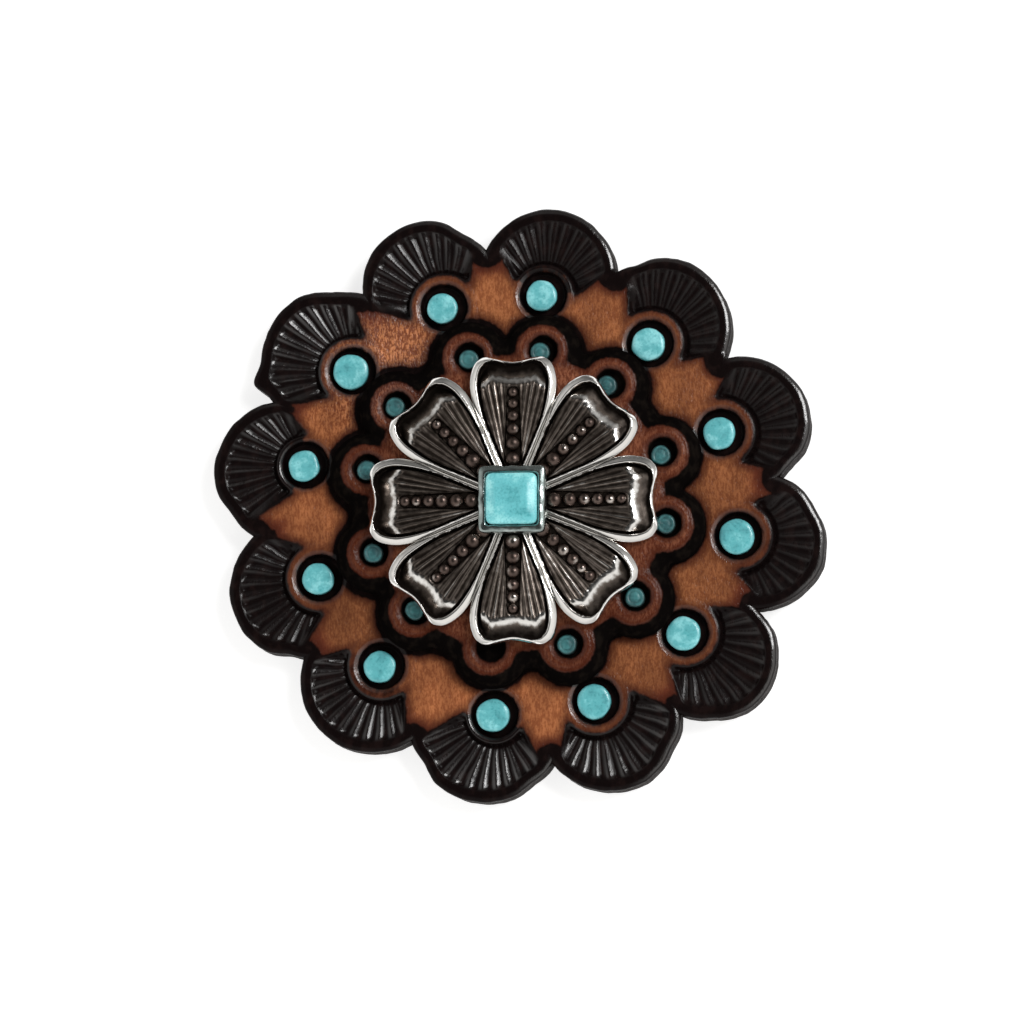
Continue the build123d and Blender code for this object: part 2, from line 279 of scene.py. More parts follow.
@dataclass
class Draft:
    """The points, faces and point values of one mesh while it is being made, in millimetres."""

    points: list[np.ndarray] = field(default_factory=list)
    faces: list[tuple[int, ...]] = field(default_factory=list)
    values: list[dict[str, np.ndarray]] = field(default_factory=list)
    count: int = 0

    def add(self, points: np.ndarray, **values: np.ndarray | float) -> np.ndarray:
        """Adds points with their values.

        Args:
            points: An array whose last axis holds x, y and z.
            **values: A number, or one number for each point, for each named value. The rest are 0.

        Returns:
            The numbers of the points, in the shape that they came in.
        """
        shape = points.shape[:-1]
        size = int(np.prod(shape))
        self.points.append(points.reshape(-1, 3))
        self.values.append({name: np.broadcast_to(value, shape).reshape(-1)
                            for name, value in values.items()})
        numbers = np.arange(self.count, self.count + size).reshape(shape)
        self.count += size
        return numbers

    def add_point(self, x: float, y: float, z: float, **values: float) -> int:
        """Adds one point with its values and gives its number."""
        return int(self.add(np.array([[x, y, z]]), **values)[0])

    def skin(self, numbers: np.ndarray, wrap: bool = True) -> None:
        """Lays quads over a grid of points.

        Args:
            numbers: The grid's point numbers, by column and row.
            wrap: Whether the last column meets the first.
        """
        if wrap:
            numbers = np.concatenate([numbers, numbers[:1]])
        a, b = numbers[:-1, :-1], numbers[1:, :-1]
        c, d = numbers[1:, 1:], numbers[:-1, 1:]
        self.faces.extend(map(tuple, np.stack([a, d, c, b], -1).reshape(-1, 4).tolist()))

    def cap(self, loop: np.ndarray, pole: int, flip: bool = False) -> None:
        """Closes a loop with triangles to one point."""
        for a, b in zip(loop.tolist(), np.roll(loop, -1).tolist()):
            self.faces.append((pole, b, a) if flip else (pole, a, b))

    def turned(self, loops: list[np.ndarray], top: int, foot: int) -> None:
        """Closes a stack of loops, from the top down, with a skin and a point at each end."""
        self.skin(np.stack(loops, 1)[:, ::-1])
        self.cap(loops[0], top)
        self.cap(loops[-1], foot, flip=True)

    def zip_loops(self, outer: np.ndarray, inner: np.ndarray) -> None:
        """Joins two loops round the origin that have different numbers of points, with faces that look down.

        Args:
            outer: Point numbers of the first loop, counter-clockwise.
            inner: Point numbers of the second loop, counter-clockwise.
        """
        everything = np.concatenate(self.points)
        angles = [np.arctan2(everything[loop, 1], everything[loop, 0]) for loop in (outer, inner)]
        loops = [np.roll(loop, -int(np.argmin(a))) for loop, a in zip((outer, inner), angles)]
        sorted_angles = [np.append(np.sort(a), np.inf) for a in angles]
        i = j = 0
        while i < len(outer) or j < len(inner):
            a, b = loops[0][i % len(outer)], loops[1][j % len(inner)]
            if sorted_angles[0][i] <= sorted_angles[1][j]:
                i += 1
                face = (b, loops[0][i % len(outer)], a)
            else:
                j += 1
                face = (b, loops[1][j % len(inner)], a)
            self.faces.append(tuple(int(n) for n in face))

    def build(self, name: str, crease: float, *materials: bpy.types.Material) -> bpy.types.Object:
        """Makes the mesh in metres, welds it and puts it in the scene.

        Args:
            name: The object's name.
            crease: Edges that turn by more than this many degrees are drawn sharp.
            *materials: Its materials.

        Returns:
            The new object.
        """
        mesh = bpy.data.meshes.new(name)
        mesh.from_pydata((np.concatenate(self.points) * MM).tolist(), [], self.faces)
        pairs = list(zip(self.values, self.points))
        store(mesh, {key: np.concatenate([given.get(key, np.zeros(len(points))) for given, points in pairs])
                     for key in sorted({key for given in self.values for key in given})})
        weld_mesh(mesh)
        mesh.shade_smooth()
        mesh.set_sharp_from_angle(angle=math.radians(crease))
        for material in materials:
            mesh.materials.append(material)
        return show(name, mesh)


@dataclass
class RosetteDraft(Draft):
    """The mesh of a rosette: lobes round a hidden middle, whose top is tooled only in the lobes."""

    middle_radius: float = 0.0
    rims: list[np.ndarray] = field(default_factory=list)
    rim_numbers: list[np.ndarray] = field(default_factory=list)
    inner_numbers: list[np.ndarray] = field(default_factory=list)

    def lay_lobe(self, points: np.ndarray, ends: np.ndarray, rim_count: int, floor: tuple[float, ...],
                 values: dict[str, np.ndarray]) -> None:
        """Lays one lobe's stretch of the top.

        Args:
            points: Its points, by ray and ring.
            ends: Where its rays end in plan.
            rim_count: How many of the ends lie on the outline. They come first.
            floor: The middle of its seat's floor.
            values: The points' named values.
        """
        numbers = self.add(points, **values)
        self.skin(numbers[:, ::-1])
        self.cap(numbers[:, 0], self.add_point(*floor, dyed=1.0, layer=Face.GRAIN.value))
        inner = np.flatnonzero(np.isclose(np.linalg.norm(ends, axis=1), self.middle_radius))
        self.rims.append(ends[:rim_count - 1])
        self.rim_numbers.append(numbers[:rim_count - 1, -1])
        self.inner_numbers.append(numbers[inner[::-1], -1][:-1])

    def lay_back(self, outline: np.ndarray, rings: list[tuple[float, float, Face]]) -> None:
        """Lays the flat back and the hole in its middle.

        Args:
            outline: Point numbers of the back's outline.
            rings: Radius, height and layer of each circle from the back to the hidden middle of the top.
        """
        inner_loop = np.concatenate(self.inner_numbers)
        circle = directions(np.arctan2(*np.concatenate(self.points)[inner_loop][:, 1::-1].T))
        loops = [self.add(with_height(circle * radius, level), dyed=-2.0, layer=face.value)
                 for radius, level, face in rings]
        self.zip_loops(outline, loops[0])
        self.skin(np.stack([*loops, inner_loop], 1)[:, ::-1])


# Shader and geometry nodes


@dataclass(frozen=True)
class RoundPlace:
    """A round place on the leather: bearing in degrees, reach, spread and change. Some are painted light and
    painted shade, and one opens the grain.
    """

    bearing: float
    reach: float
    spread: float
    gain: float


@dataclass
class Wiring:
    """Adds nodes to one tree and joins them."""

    tree: bpy.types.NodeTree

    def node(self, kind: str, settings: dict | None = None, **inputs: object) -> bpy.types.Node:
        """Adds a node.

        Args:
            kind: The node's type.
            settings: Its properties.
            **inputs: Values or sockets for its inputs, with underscores for spaces in their names.

        Returns:
            The node.
        """
        made = self.tree.nodes.new(kind)
        for key, value in (settings or {}).items():
            setattr(made, key, value)
        for key, value in inputs.items():
            self.feed(made.inputs[key.replace("_", " ")], value)
        return made

    def feed(self, target: Socket, value: object) -> None:
        """Gives an input a constant or joins it to an output."""
        if isinstance(value, Socket):
            self.tree.links.new(value, target)
        else:
            target.default_value = value

    def feed_all(self, pairs: object) -> None:
        """Feeds each input in pairs of an input and a value."""
        for target, value in pairs:
            self.feed(target, value)

    def math(self, operation: str, *values: object, clamp: bool = False) -> Socket:
        """The result of one sum on numbers or sockets."""
        made = self.node("ShaderNodeMath", {"operation": operation, "use_clamp": clamp})
        self.feed_all(zip(made.inputs, values))
        return made.outputs[0]

    def times(self, *values: object) -> Socket:
        """The product of numbers or sockets."""
        return functools.reduce(functools.partial(self.math, "MULTIPLY"), values)

    def plus(self, *values: object) -> Socket:
        """The sum of numbers or sockets."""
        return functools.reduce(functools.partial(self.math, "ADD"), values)

    def swing(self, value: object, amount: object) -> Socket:
        """How far a value lies from a half, times an amount."""
        return self.times(self.math("SUBTRACT", value, 0.5), amount)

    def rest(self, value: object) -> Socket:
        """What is left of 1."""
        return self.math("SUBTRACT", 1.0, value)

    def step(self, value: object, low: float, high: float, start: float = 0.0, end: float = 1.0) -> Socket:
        """A smooth step of a value from start to end as it goes from low to high."""
        made = self.node("ShaderNodeMapRange", {"interpolation_type": "SMOOTHSTEP"},
                         From_Min=low, From_Max=high, To_Min=start, To_Max=end)
        self.feed(made.inputs["Value"], value)
        return made.outputs[0]

    def blend(self, share: object, first: object, second: object, mode: str = "MIX") -> Socket:
        """Two colours mixed by a share."""
        made = self.node("ShaderNodeMix", {"data_type": "RGBA", "blend_type": mode, "clamp_factor": True})
        self.feed_all(zip((made.inputs[0], made.inputs[6], made.inputs[7]), (share, first, second)))
        return made.outputs[2]

    def vector(self, operation: str, *values: object) -> bpy.types.Node:
        """A node for one sum on vectors."""
        made = self.node("ShaderNodeVectorMath", {"operation": operation})
        self.feed_all(zip(made.inputs, values))
        return made

    def place(self, per_mm: tuple[float, float, float], offset: float = 0.0) -> Socket:
        """Object coordinates, stretched to so many units per millimetre along each axis."""
        source = self.node("ShaderNodeTexCoord").outputs["Object"]
        scale = tuple(value / MM for value in per_mm)
        return self.node("ShaderNodeMapping", Vector=source, Location=(offset,) * 3, Scale=scale).outputs[0]

    def along(self, bearing: float, per_mm: float = 1.0) -> Socket:
        """How far object coordinates lie along a bearing, in so many units per millimetre."""
        spot = self.node("ShaderNodeSeparateXYZ", Vector=self.place((1.0, 1.0, 1.0)))
        way = polar(bearing, per_mm)
        across, up = (self.times(spot.outputs[axis], float(part)) for axis, part in zip("XY", way))
        return self.plus(across, up)

    def distance(self, where: object, place: RoundPlace) -> Socket:
        """How far a plane position in millimetres lies from a place."""
        return self.vector("DISTANCE", where, (*polar(place.bearing, place.reach), 0.0)).outputs["Value"]

    def noise(self, per_mm: tuple[float, float, float], detail: float = 3.0, offset: float = 0.0) -> Socket:
        """Noise from about 0.25 to 0.75, with so many cells per millimetre along each axis."""
        made = self.node("ShaderNodeTexNoise", Vector=self.place(per_mm, offset), Scale=1.0, Detail=detail)
        return made.outputs["Fac"]

    def value(self, name: str) -> Socket:
        """A value that is stored on the mesh's points."""
        return self.node("ShaderNodeAttribute", {"attribute_name": name}).outputs["Fac"]

    def bump(self, height: object, depth_mm: float, under: object = None) -> Socket:
        """A normal that follows a height from 0 to 1, so many millimetres deep."""
        made = self.node("ShaderNodeBump", Strength=1.0, Distance=depth_mm * MM, Height=height)
        if under is not None:
            self.feed(made.inputs["Normal"], under)
        return made.outputs[0]


@dataclass
class Paint:
    """A new material with its wiring and its surface shader."""

    name: str

    def __post_init__(self) -> None:
        """Makes the material."""
        self.material = bpy.data.materials.new(self.name)
        self.material.use_nodes = True
        self.wiring = Wiring(self.material.node_tree)
        self.shader = self.material.node_tree.nodes["Principled BSDF"]

    def set(self, **inputs: object) -> bpy.types.Material:
        """Feeds the shader's inputs, with underscores for spaces in their names, and gives the material."""
        for key, value in inputs.items():
            self.wiring.feed(self.shader.inputs[key.replace("_", " ")], value)
        return self.material


@dataclass(frozen=True)
class TooledLeather:
    """Brown leather with a streaky grain, near-black dye in its tooling, a raw back, and broad patches of
    painted light and shade.
    """

    name: str = "tooled_leather"
    tan: Colour = (0.620, 0.232, 0.088, 1.0)
    brown: Colour = (0.222, 0.058, 0.020, 1.0)
    umber: Colour = (0.062, 0.013, 0.006, 1.0)
    scorch: Colour = (0.110, 0.017, 0.009, 1.0)
    dye: Colour = (0.0058, 0.0034, 0.0034, 1.0)
    dye_worn: Colour = (0.0115, 0.0062, 0.0058, 1.0)
    raw: Colour = (0.120, 0.062, 0.035, 1.0)
    fibre: tuple[float, float, float] = (4.0, 1.3, 4.0)
    pores: tuple[float, float, float] = (8.2, 4.2, 8.2)
    mottle: tuple[float, float, float] = (0.32, 0.15, 0.32)
    mottle_share: float = 0.36
    grain_level: float = 0.46
    specular: float = 0.07
    gleam: float = 0.20
    coat_ior: float = 1.75
    coat_roughness: float = 0.17
    bare_roughness: float = 0.50
    dyed_roughness: float = 0.24
    open_grain: RoundPlace = RoundPlace(133, 21.0, 13.0, 1.55)
    open_gleam: float = 2.6
    open_relief: float = 1.8
    closed_grain: float = 0.50
    pale_bearing: float = 115.0
    pale_reach: float = 24.0
    pale_low: float = 0.74
    pale_high: float = 0.96
    dye_ragged: float = 0.44
    dye_halo: float = 1.15
    halo_share: float = 0.86
    dyed_calm: float = 0.36
    flesh_calm: float = 0.08
    hide_depth: float = 0.06
    grain_depth: float = 0.055
    nap_depth: float = 0.05
    # Round places of painted light, where the change is above 0, and of painted shade, where it is below
    lit_and_shaded_places: tuple[RoundPlace, ...] = (
        RoundPlace(133, 20.5, 11.0, 0.34), RoundPlace(264, 21.5, 15.0, 0.75),
        RoundPlace(214, 21.0, 7.0, -0.30),
        RoundPlace(176, 20.5, 7.5, 0.26),
    )

    def skin(self, w: Wiring, streak: Socket, pore: Socket, opened: Socket, flat: Socket) -> Socket:
        """The colour of the leather before dye covers it, with painted light and shade laid over it.

        Args:
            w: The material's wiring.
            streak: The noise of its fibres.
            pore: The noise of its pores.
            opened: How open its grain is.
            flat: Plane coordinates in millimetres.

        Returns:
            The colour.
        """
        grain = w.step(w.plus(w.times(streak, 0.6), w.times(pore, 0.4)), 0.40, 0.61)
        contrast = w.step(opened, 0.0, 1.0, self.closed_grain, self.open_grain.gain)
        grain = w.math("ADD", w.swing(grain, contrast), self.grain_level, clamp=True)
        skin = w.blend(grain, self.brown, self.tan)
        mottled = w.step(w.noise(self.mottle, 3.0, 3.0), 0.62, 0.36, 0.0, self.mottle_share)
        skin = w.blend(mottled, skin, self.umber)
        # Paler towards pale_bearing, partly the leather's own tone and partly painted light; the round places
        # add painted light and painted shade
        pale = w.step(w.along(self.pale_bearing), -self.pale_reach, self.pale_reach,
                      self.pale_low, self.pale_high)
        for place in self.lit_and_shaded_places:
            pale = w.times(pale, w.step(w.distance(flat, place), 0.0, place.spread, 1.0 + place.gain, 1.0))
        return w.blend(w.value("scorch"), w.blend(1.0, skin, pale, "MULTIPLY"), self.scorch)

    def build(self) -> bpy.types.Material:
        """Wires the material."""
        paint = Paint(self.name)
        w = paint.wiring
        streak, pore = w.noise(self.fibre), w.noise(self.pores, 2.0, 7.0)
        flat = w.place((1.0, 1.0, 0.0))
        opened = w.step(w.distance(flat, self.open_grain), 0.0, self.open_grain.spread, 1.0, 0.0)
        skin = self.skin(w, streak, pore, opened, flat)

        # The border of the dye and of the painted shade is ragged, and a reddish halo lies round it
        soaked = w.plus(w.value("dyed"), w.swing(w.noise((1.6, 1.2, 1.6), 4.0, 11.0), self.dye_ragged))
        skin = w.blend(w.step(soaked, -self.dye_halo, 0.0, 0.0, self.halo_share), skin, self.umber)
        covered = w.step(soaked, -0.17, 0.14)
        worn = w.step(w.noise((1.1, 0.8, 1.1), 4.0, 23.0), 0.45, 0.70)
        colour = w.blend(covered, skin, w.blend(worn, self.dye, self.dye_worn))
        flesh = w.step(w.value("layer"), 0.7, 0.9)
        nap = w.step(w.noise((2.4, 2.4, 2.4), 5.0, 5.0), 0.35, 0.65, 0.55, 1.25)
        raw = w.blend(1.0, self.raw, nap, "MULTIPLY")

        gloss = w.step(covered, 0.0, 1.0, self.bare_roughness, self.dyed_roughness)
        gloss = w.plus(gloss, w.swing(pore, 0.20))
        rough = w.plus(w.times(gloss, w.rest(flesh)), w.times(flesh, 0.9))
        shine = w.times(w.step(covered, 0.0, 1.0, self.gleam, 0.0),
                        w.step(opened, 0.0, 1.0, 1.0, self.open_gleam), w.rest(flesh))

        # Dye fills the grain, so leather under dye is smoother
        calm = w.times(w.step(covered, 0.0, 1.0, 1.0, self.dyed_calm),
                       w.step(flesh, 0.0, 1.0, 1.0, self.flesh_calm))
        fine = w.plus(w.times(pore, 0.6), w.times(streak, 0.4))
        coarse = w.step(opened, 0.0, 1.0, 1.0, self.open_relief)
        normal = w.bump(w.swing(w.noise((2.0, 1.3, 2.0), 3.0, 31.0), calm), self.hide_depth)
        normal = w.bump(w.times(w.swing(fine, calm), coarse), self.grain_depth, normal)
        normal = w.bump(w.times(nap, flesh), self.nap_depth, normal)
        return paint.set(
            Base_Color=w.blend(flesh, colour, raw), Roughness=w.math("MINIMUM", rough, 0.95, clamp=True),
            Specular_IOR_Level=self.specular, Coat_Roughness=self.coat_roughness, Coat_IOR=self.coat_ior,
            Coat_Weight=w.math("ADD", w.value("polish"), shine, clamp=True),
            Normal=normal, Coat_Normal=normal,
        )


@dataclass(frozen=True)
class CutEdge:
    """The edge of thick leather, cut by hand, coloured with dye and burnished by rubbing: dull and a little
    rough.
    """

    dark: Colour = (0.020, 0.017, 0.016, 1.0)
    grey: Colour = (0.060, 0.054, 0.052, 1.0)

    def build(self) -> bpy.types.Material:
        """Wires the material."""
        paint = Paint("cut_edge")
        w = paint.wiring
        layers = w.noise((0.9, 0.9, 3.2), 4.0, 13.0)
        rough = w.noise((2.6, 2.6, 4.0), 4.0, 29.0)
        return paint.set(Base_Color=w.blend(w.step(layers, 0.38, 0.66), self.dark, self.grey),
                         Roughness=w.step(rough, 0.3, 0.7, 0.65, 0.9), Specular_IOR_Level=0.06,
                         Normal=w.bump(rough, 0.10))


@dataclass(frozen=True)
class AntiquedSilver:
    """Bright cast metal, blackened where a polishing cloth doesn't reach, and paled towards one side as
    painted light.
    """

    name: str = "antiqued_silver"
    bright: Colour = (0.800, 0.785, 0.760, 1.0)
    dull: Colour = (0.150, 0.125, 0.108, 1.0)
    black: Colour = (0.022, 0.017, 0.014, 1.0)
    painted_light_bearing: float = -52.0
    painted_light_per_mm: float = 0.0055
    polish: float = 0.04

    def build(self) -> bpy.types.Material:
        """Wires the material."""
        paint = Paint(self.name)
        w = paint.wiring
        patchy = w.swing(w.noise((1.3, 1.3, 1.3), 4.0), 0.55)
        # Painted light: the patina thins towards painted_light_bearing, so the metal is paler on that side
        worn = w.plus(w.along(self.painted_light_bearing, self.painted_light_per_mm), self.polish)
        dark = w.math("SUBTRACT", w.plus(w.value("patina"), patchy), worn)
        colour = w.blend(w.step(dark, 0.18, 0.50), self.bright, self.dull)
        return paint.set(Base_Color=w.blend(w.step(dark, 0.50, 0.92), colour, self.black),
                         Roughness=w.step(dark, 0.15, 0.85, 0.13, 0.42), Metallic=1.0,
                         Normal=w.bump(w.noise((2.6, 2.6, 2.6), 3.0, 9.0), 0.012))


@dataclass(frozen=True)
class Turquoise:
    """Pale blue-green stone or enamel, clouded and faintly pitted, and darkened with painted shade where a
    spot sits deep in its seat.
    """

    name: str
    light: Colour
    middle: Colour
    deep: Colour
    roughness: float
    coat: float
    cloud: float
    seat_shadow: Colour = (0.006, 0.009, 0.009, 1.0)

    def build(self) -> bpy.types.Material:
        """Wires the material."""
        paint = Paint(self.name)
        w = paint.wiring
        cloud = w.noise((self.cloud,) * 3, 4.0, 2.0)
        fine = w.noise((4.0, 4.0, 4.0), 2.0, 17.0)
        shade = w.plus(w.times(cloud, 0.75), w.times(fine, 0.25), w.value("shade"))
        colour = w.blend(w.step(shade, 0.30, 0.52), self.deep, self.middle)
        colour = w.blend(w.step(shade, 0.50, 0.72), colour, self.light)
        return paint.set(
            # Painted shade: darker where the seat's wall would shade a spot
            Base_Color=w.blend(w.value("stain"), colour, self.seat_shadow),
            Roughness=w.step(fine, 0.3, 0.7, self.roughness - 0.08, self.roughness + 0.1),
            Coat_Weight=self.coat, Coat_Roughness=0.12, Subsurface_Weight=0.08,
            Subsurface_Radius=(0.4, 1.0, 1.0), Subsurface_Scale=0.3 * MM,
            Normal=w.bump(w.plus(cloud, w.times(fine, 0.3)), 0.05),
        )


@dataclass(frozen=True)
class PostSteel:
    """Turned steel, with fine rings from the tool."""

    steel: Colour = (0.42, 0.41, 0.40, 1.0)
    shadow: Colour = (0.20, 0.19, 0.18, 1.0)

    def build(self) -> bpy.types.Material:
        """Wires the material."""
        paint = Paint("post_steel")
        w = paint.wiring
        rings = w.node("ShaderNodeTexWave", {"wave_type": "RINGS", "rings_direction": "Z"},
                       Vector=w.place((1.0, 1.0, 1.0)), Scale=2.2, Distortion=0.6, Detail=2.0).outputs["Fac"]
        smear = w.noise((0.8, 0.8, 0.8), 4.0)
        return paint.set(Base_Color=w.blend(w.step(smear, 0.35, 0.65), self.shadow, self.steel),
                         Roughness=w.step(smear, 0.3, 0.7, 0.25, 0.45), Metallic=1.0,
                         Normal=w.bump(rings, 0.02))


# The leather rosettes


@dataclass(frozen=True)
class Scallop:
    """One scallop of the large rosette: bearings in degrees, radii as shares of the mean, and its heel."""

    tip_bearing: float
    tip_share: float
    notch_bearing: float
    notch_share: float
    ring_dye: float
    heel: float = 1.0


@dataclass(frozen=True)
class KnifeSlip:
    """A place where the cut leaves a scallop's arc: bearing in degrees, reach, spread and way outwards."""

    bearing: float
    reach: float
    spread: float
    outward: float


@dataclass
class LargeRosette:
    """The large leather rosette: twelve scallops, each with a sunk seat and a stamped fan of ridges."""

    upper: "SmallRosette"
    tip_radius: float = 31.76
    notch_radius: float = 27.60
    middle_radius: float = 16.0
    seat_radius: float = 2.45
    seat_depth: float = 1.0
    seat_shift: tuple[float, float] = (0.18, 0.11)
    lip_round: float = 0.50
    lip_slope: float = 0.50
    fan_radius: float = 3.70
    fan_border: float = 1.15
    fan_inner_half: float = 76.0
    fan_outer_half: float = 57.0
    fan_corner: float = 0.55
    fan_floor: float = 0.06
    fan_heel: float = 0.78
    heel_roll: float = 0.42
    heel_slope: float = 0.36
    ridges: int = 11
    ridge_share: float = 0.39
    ridge_slope: float = 0.34
    ridge_foot: float = 0.78
    edge_round: float = 0.28
    edge_fall: float = 0.60
    edge_slope: float = 0.40
    back_bevel: float = 0.30
    edge_ragged: float = 0.06
    recess_radius: float = 5.08
    recess_depth: float = 0.85
    hole_radius: float = 3.08
    dyed_border: float = 1.35
    # A band of dye and painted shadow round the small rosette's foot, wider towards gutter_bearing
    gutter_width: float = 0.42
    gutter_bearing: float = 150.0
    worn_fans: tuple[tuple[float, float], ...] = ((140, 28), (260, 45))
    least_wear: float = 0.20
    light_bearing: float = 25.0
    settle: float = 0.05
    swell_height: float = 0.05
    swell_pitch: float = 5.0
    ripple_height: float = 0.025
    ripple_pitch: float = 1.9
    ring_swell: float = 0.05
    ridge_wobble: float = 0.72
    ridge_uneven: float = 0.16
    ridge_spread: tuple[float, float] = (3.4, 8.5)
    foot_slope: float = 0.95
    fan_reach: float = 110.0
    ring_half: float = 75.0
    notch_dye: float = 2.0
    back_radii: tuple[float, float] = (19.0, 12.0)
    hidden_radius: float = 9.0
    wall_rough: float = 0.055
    floor_rings: tuple[float, ...] = (0.35, 0.8)
    lip_rings: tuple[float, ...] = (-0.4, -0.25, -0.12, 0.0, 0.15, 0.35, 0.55, 0.75, 0.95, 1.15)
    heel_rings: tuple[float, ...] = (-0.52, -0.40, -0.28, -0.18, -0.08, 0.0, 0.08, 0.18, 0.32, 0.5)
    border_rings: tuple[float, ...] = (0.7, 0.45, 0.28, 0.16, 0.06, -0.06, -0.2)
    slope_rings: tuple[float, ...] = (0.72, 0.55, 0.42)
    edge_rings: tuple[float, ...] = (1.0, 0.72, 0.45, 0.22, 0.06, 0.0)
    ray_steps: tuple[float, ...] = (0.0, 0.06, 0.13, 0.22, 0.32, 0.50, 0.68, 0.78, 0.87, 0.94)
    loose_rings: int = 7
    side_points: int = 14
    middle_points: int = 10
    seed: int = 41
    slips: tuple[KnifeSlip, ...] = (
        KnifeSlip(7.5, 29.0, 1.8, -0.36), KnifeSlip(65, 28.6, 1.3, -0.45),
        KnifeSlip(101.5, 29.4, 2.2, -0.58), KnifeSlip(131, 29.3, 2.6, -0.65),
        KnifeSlip(153.2, 30.1, 1.25, 1.05), KnifeSlip(180.5, 30.2, 1.8, -0.50),
        KnifeSlip(212, 28.9, 1.3, -0.50), KnifeSlip(249.5, 28.7, 1.7, -0.50),
        KnifeSlip(272.5, 29.0, 1.4, -0.32), KnifeSlip(300.5, 29.6, 1.7, -0.48),
        KnifeSlip(312.5, 29.8, 2.3, -0.40), KnifeSlip(358, 30.5, 1.7, -0.32),
    )
    scallops: tuple[Scallop, ...] = (
        Scallop(20, 1.004, 35, 0.950, 0.15), Scallop(50, 0.980, 67, 0.958, 0.20),
        Scallop(81, 0.987, 97, 0.990, 0.90, 0.88), Scallop(114, 1.009, 126, 1.020, 0.45),
        Scallop(143, 1.028, 156.5, 1.025, 0.30), Scallop(168, 1.016, 186, 1.018, 0.95, 0.84),
        Scallop(199, 1.007, 215, 1.001, 0.50), Scallop(230, 0.986, 245.5, 0.982, 0.75),
        Scallop(261, 0.984, 277.5, 0.984, 1.00, 0.84), Scallop(293, 1.003, 307.5, 1.007, 0.50),
        Scallop(323, 1.022, 336, 0.991, 0.40), Scallop(350, 1.020, 5.5, 0.998, 0.60),
    )

    def __post_init__(self) -> None:
        """Works out the arcs of the outline and the seats from the table and the frame."""
        self.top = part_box("base_rosette")[1].z / MM
        self.notches = [polar(s.notch_bearing, self.notch_radius * s.notch_share) for s in self.scallops]
        self.tips = [polar(s.tip_bearing, self.tip_radius * s.tip_share) for s in self.scallops]
        arcs = [circle_through(self.notches[i - 1], self.tips[i], self.notches[i])
                for i in range(len(self.tips))]
        self.arc_centres = np.array([centre for centre, _ in arcs])
        self.arc_radii = np.array([radius for _, radius in arcs])
        boxes = [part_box(f"outer_spot_{i + 1:02d}") for i in range(len(self.scallops))]
        self.seats = [np.array((low + high) / 2)[:2] / MM + np.array(self.seat_shift) for low, high in boxes]
        self.edge_drop = self.edge_slope * self.edge_fall ** 2 / (self.edge_fall + 0.15)
        self.ridge_pitch = 2 * self.fan_outer_half / self.ridges

    def edge_depth(self, plan: np.ndarray) -> np.ndarray:
        """How far inside the outline plane points lie."""
        away = np.linalg.norm(plan[..., None, :] - self.arc_centres, axis=-1)
        middle = self.notch_radius - 0.6 - np.linalg.norm(plan, axis=-1)
        return np.maximum((self.arc_radii - away).max(-1), middle)

    def boundary(self, index: int) -> tuple[np.ndarray, np.ndarray]:
        """The boundary of one lobe's stretch of the top, counter-clockwise from the notch before it.

        Returns:
            Its points, and for each how much its ray's rings crowd towards the edge, from 0 to 1.
        """
        seat, before, after = self.seats[index], self.notches[index - 1], self.notches[index]
        middle = bearing_from(seat, self.tips[index])
        turn = [math.degrees(centred(bearing_from(seat, end) - middle)) for end in (before, after)]
        fan = [-self.fan_outer_half + self.ridge_pitch * (ridge + step)
               for ridge in range(self.ridges) for step in self.ray_steps]
        fan = [angle for angle in (*fan, self.fan_outer_half) if turn[0] + 1 < angle < turn[1] - 1]
        angles = [turn[0], (turn[0] + fan[0]) / 2, *fan, (turn[1] + fan[-1]) / 2, turn[1]]
        rays = directions(np.radians(angles) + middle)
        reach = reach_to_circle(seat, rays, self.arc_centres[index], self.arc_radii[index])
        rim = seat + rays * reach[:, None]
        rim[0], rim[-1] = before, after
        sides = np.linspace(0, 1, self.side_points + 1)[1:] ** 1.4
        way = way_round_middle(before, after, self.middle_radius, sides, self.middle_points)
        crowd_down = 1 - ease(sides * 3.5)
        crowd = np.concatenate([np.ones(len(rim)), crowd_down,
                                np.zeros(self.middle_points), crowd_down[::-1]])
        return np.concatenate([rim, way]), crowd

    def heel(self, index: int) -> float:
        """How far from its seat a lobe's fan starts."""
        return self.fan_radius * self.scallops[index].heel

    def wear(self, index: int) -> float:
        """How bright a lobe's ridges are polished."""
        bearing = self.scallops[index].tip_bearing
        away = [((bearing - worn + 180) % 360 - 180) / spread for worn, spread in self.worn_fans]
        return self.least_wear + (1 - self.least_wear) * max(math.exp(-a * a) for a in away)

    def rings(self, index: int, reach: np.ndarray, crowd: np.ndarray) -> tuple[np.ndarray, np.ndarray]:
        """Where the rings of a lobe lie on its rays.

        Args:
            index: The lobe.
            reach: The rays' lengths.
            crowd: How much each ray's rings crowd towards its end.

        Returns:
            The distances that all rays share, and the shares of the rest for each ray.
        """
        near = np.sort(np.concatenate([
            self.seat_radius * np.array(self.floor_rings),
            self.seat_radius + self.lip_round * np.array(self.lip_rings),
            self.heel(index) + np.array(self.heel_rings),
        ]))
        near = near[np.diff(near, prepend=0.0) > 0.03]
        offsets = np.concatenate([self.fan_border + np.array(self.border_rings), self.slope_rings,
                                  self.edge_round * np.array(self.edge_rings)])
        tight = 1 - offsets / (reach - near[-1])[:, None]
        spread = np.arange(1, self.loose_rings + 1) / (self.loose_rings + 1)
        tight = np.concatenate([tight[:, :1] * spread, tight], axis=1)
        even = np.linspace(0, 1, tight.shape[1] + 1)[1:]
        return near, crowd[:, None] * tight + (1 - crowd[:, None]) * even

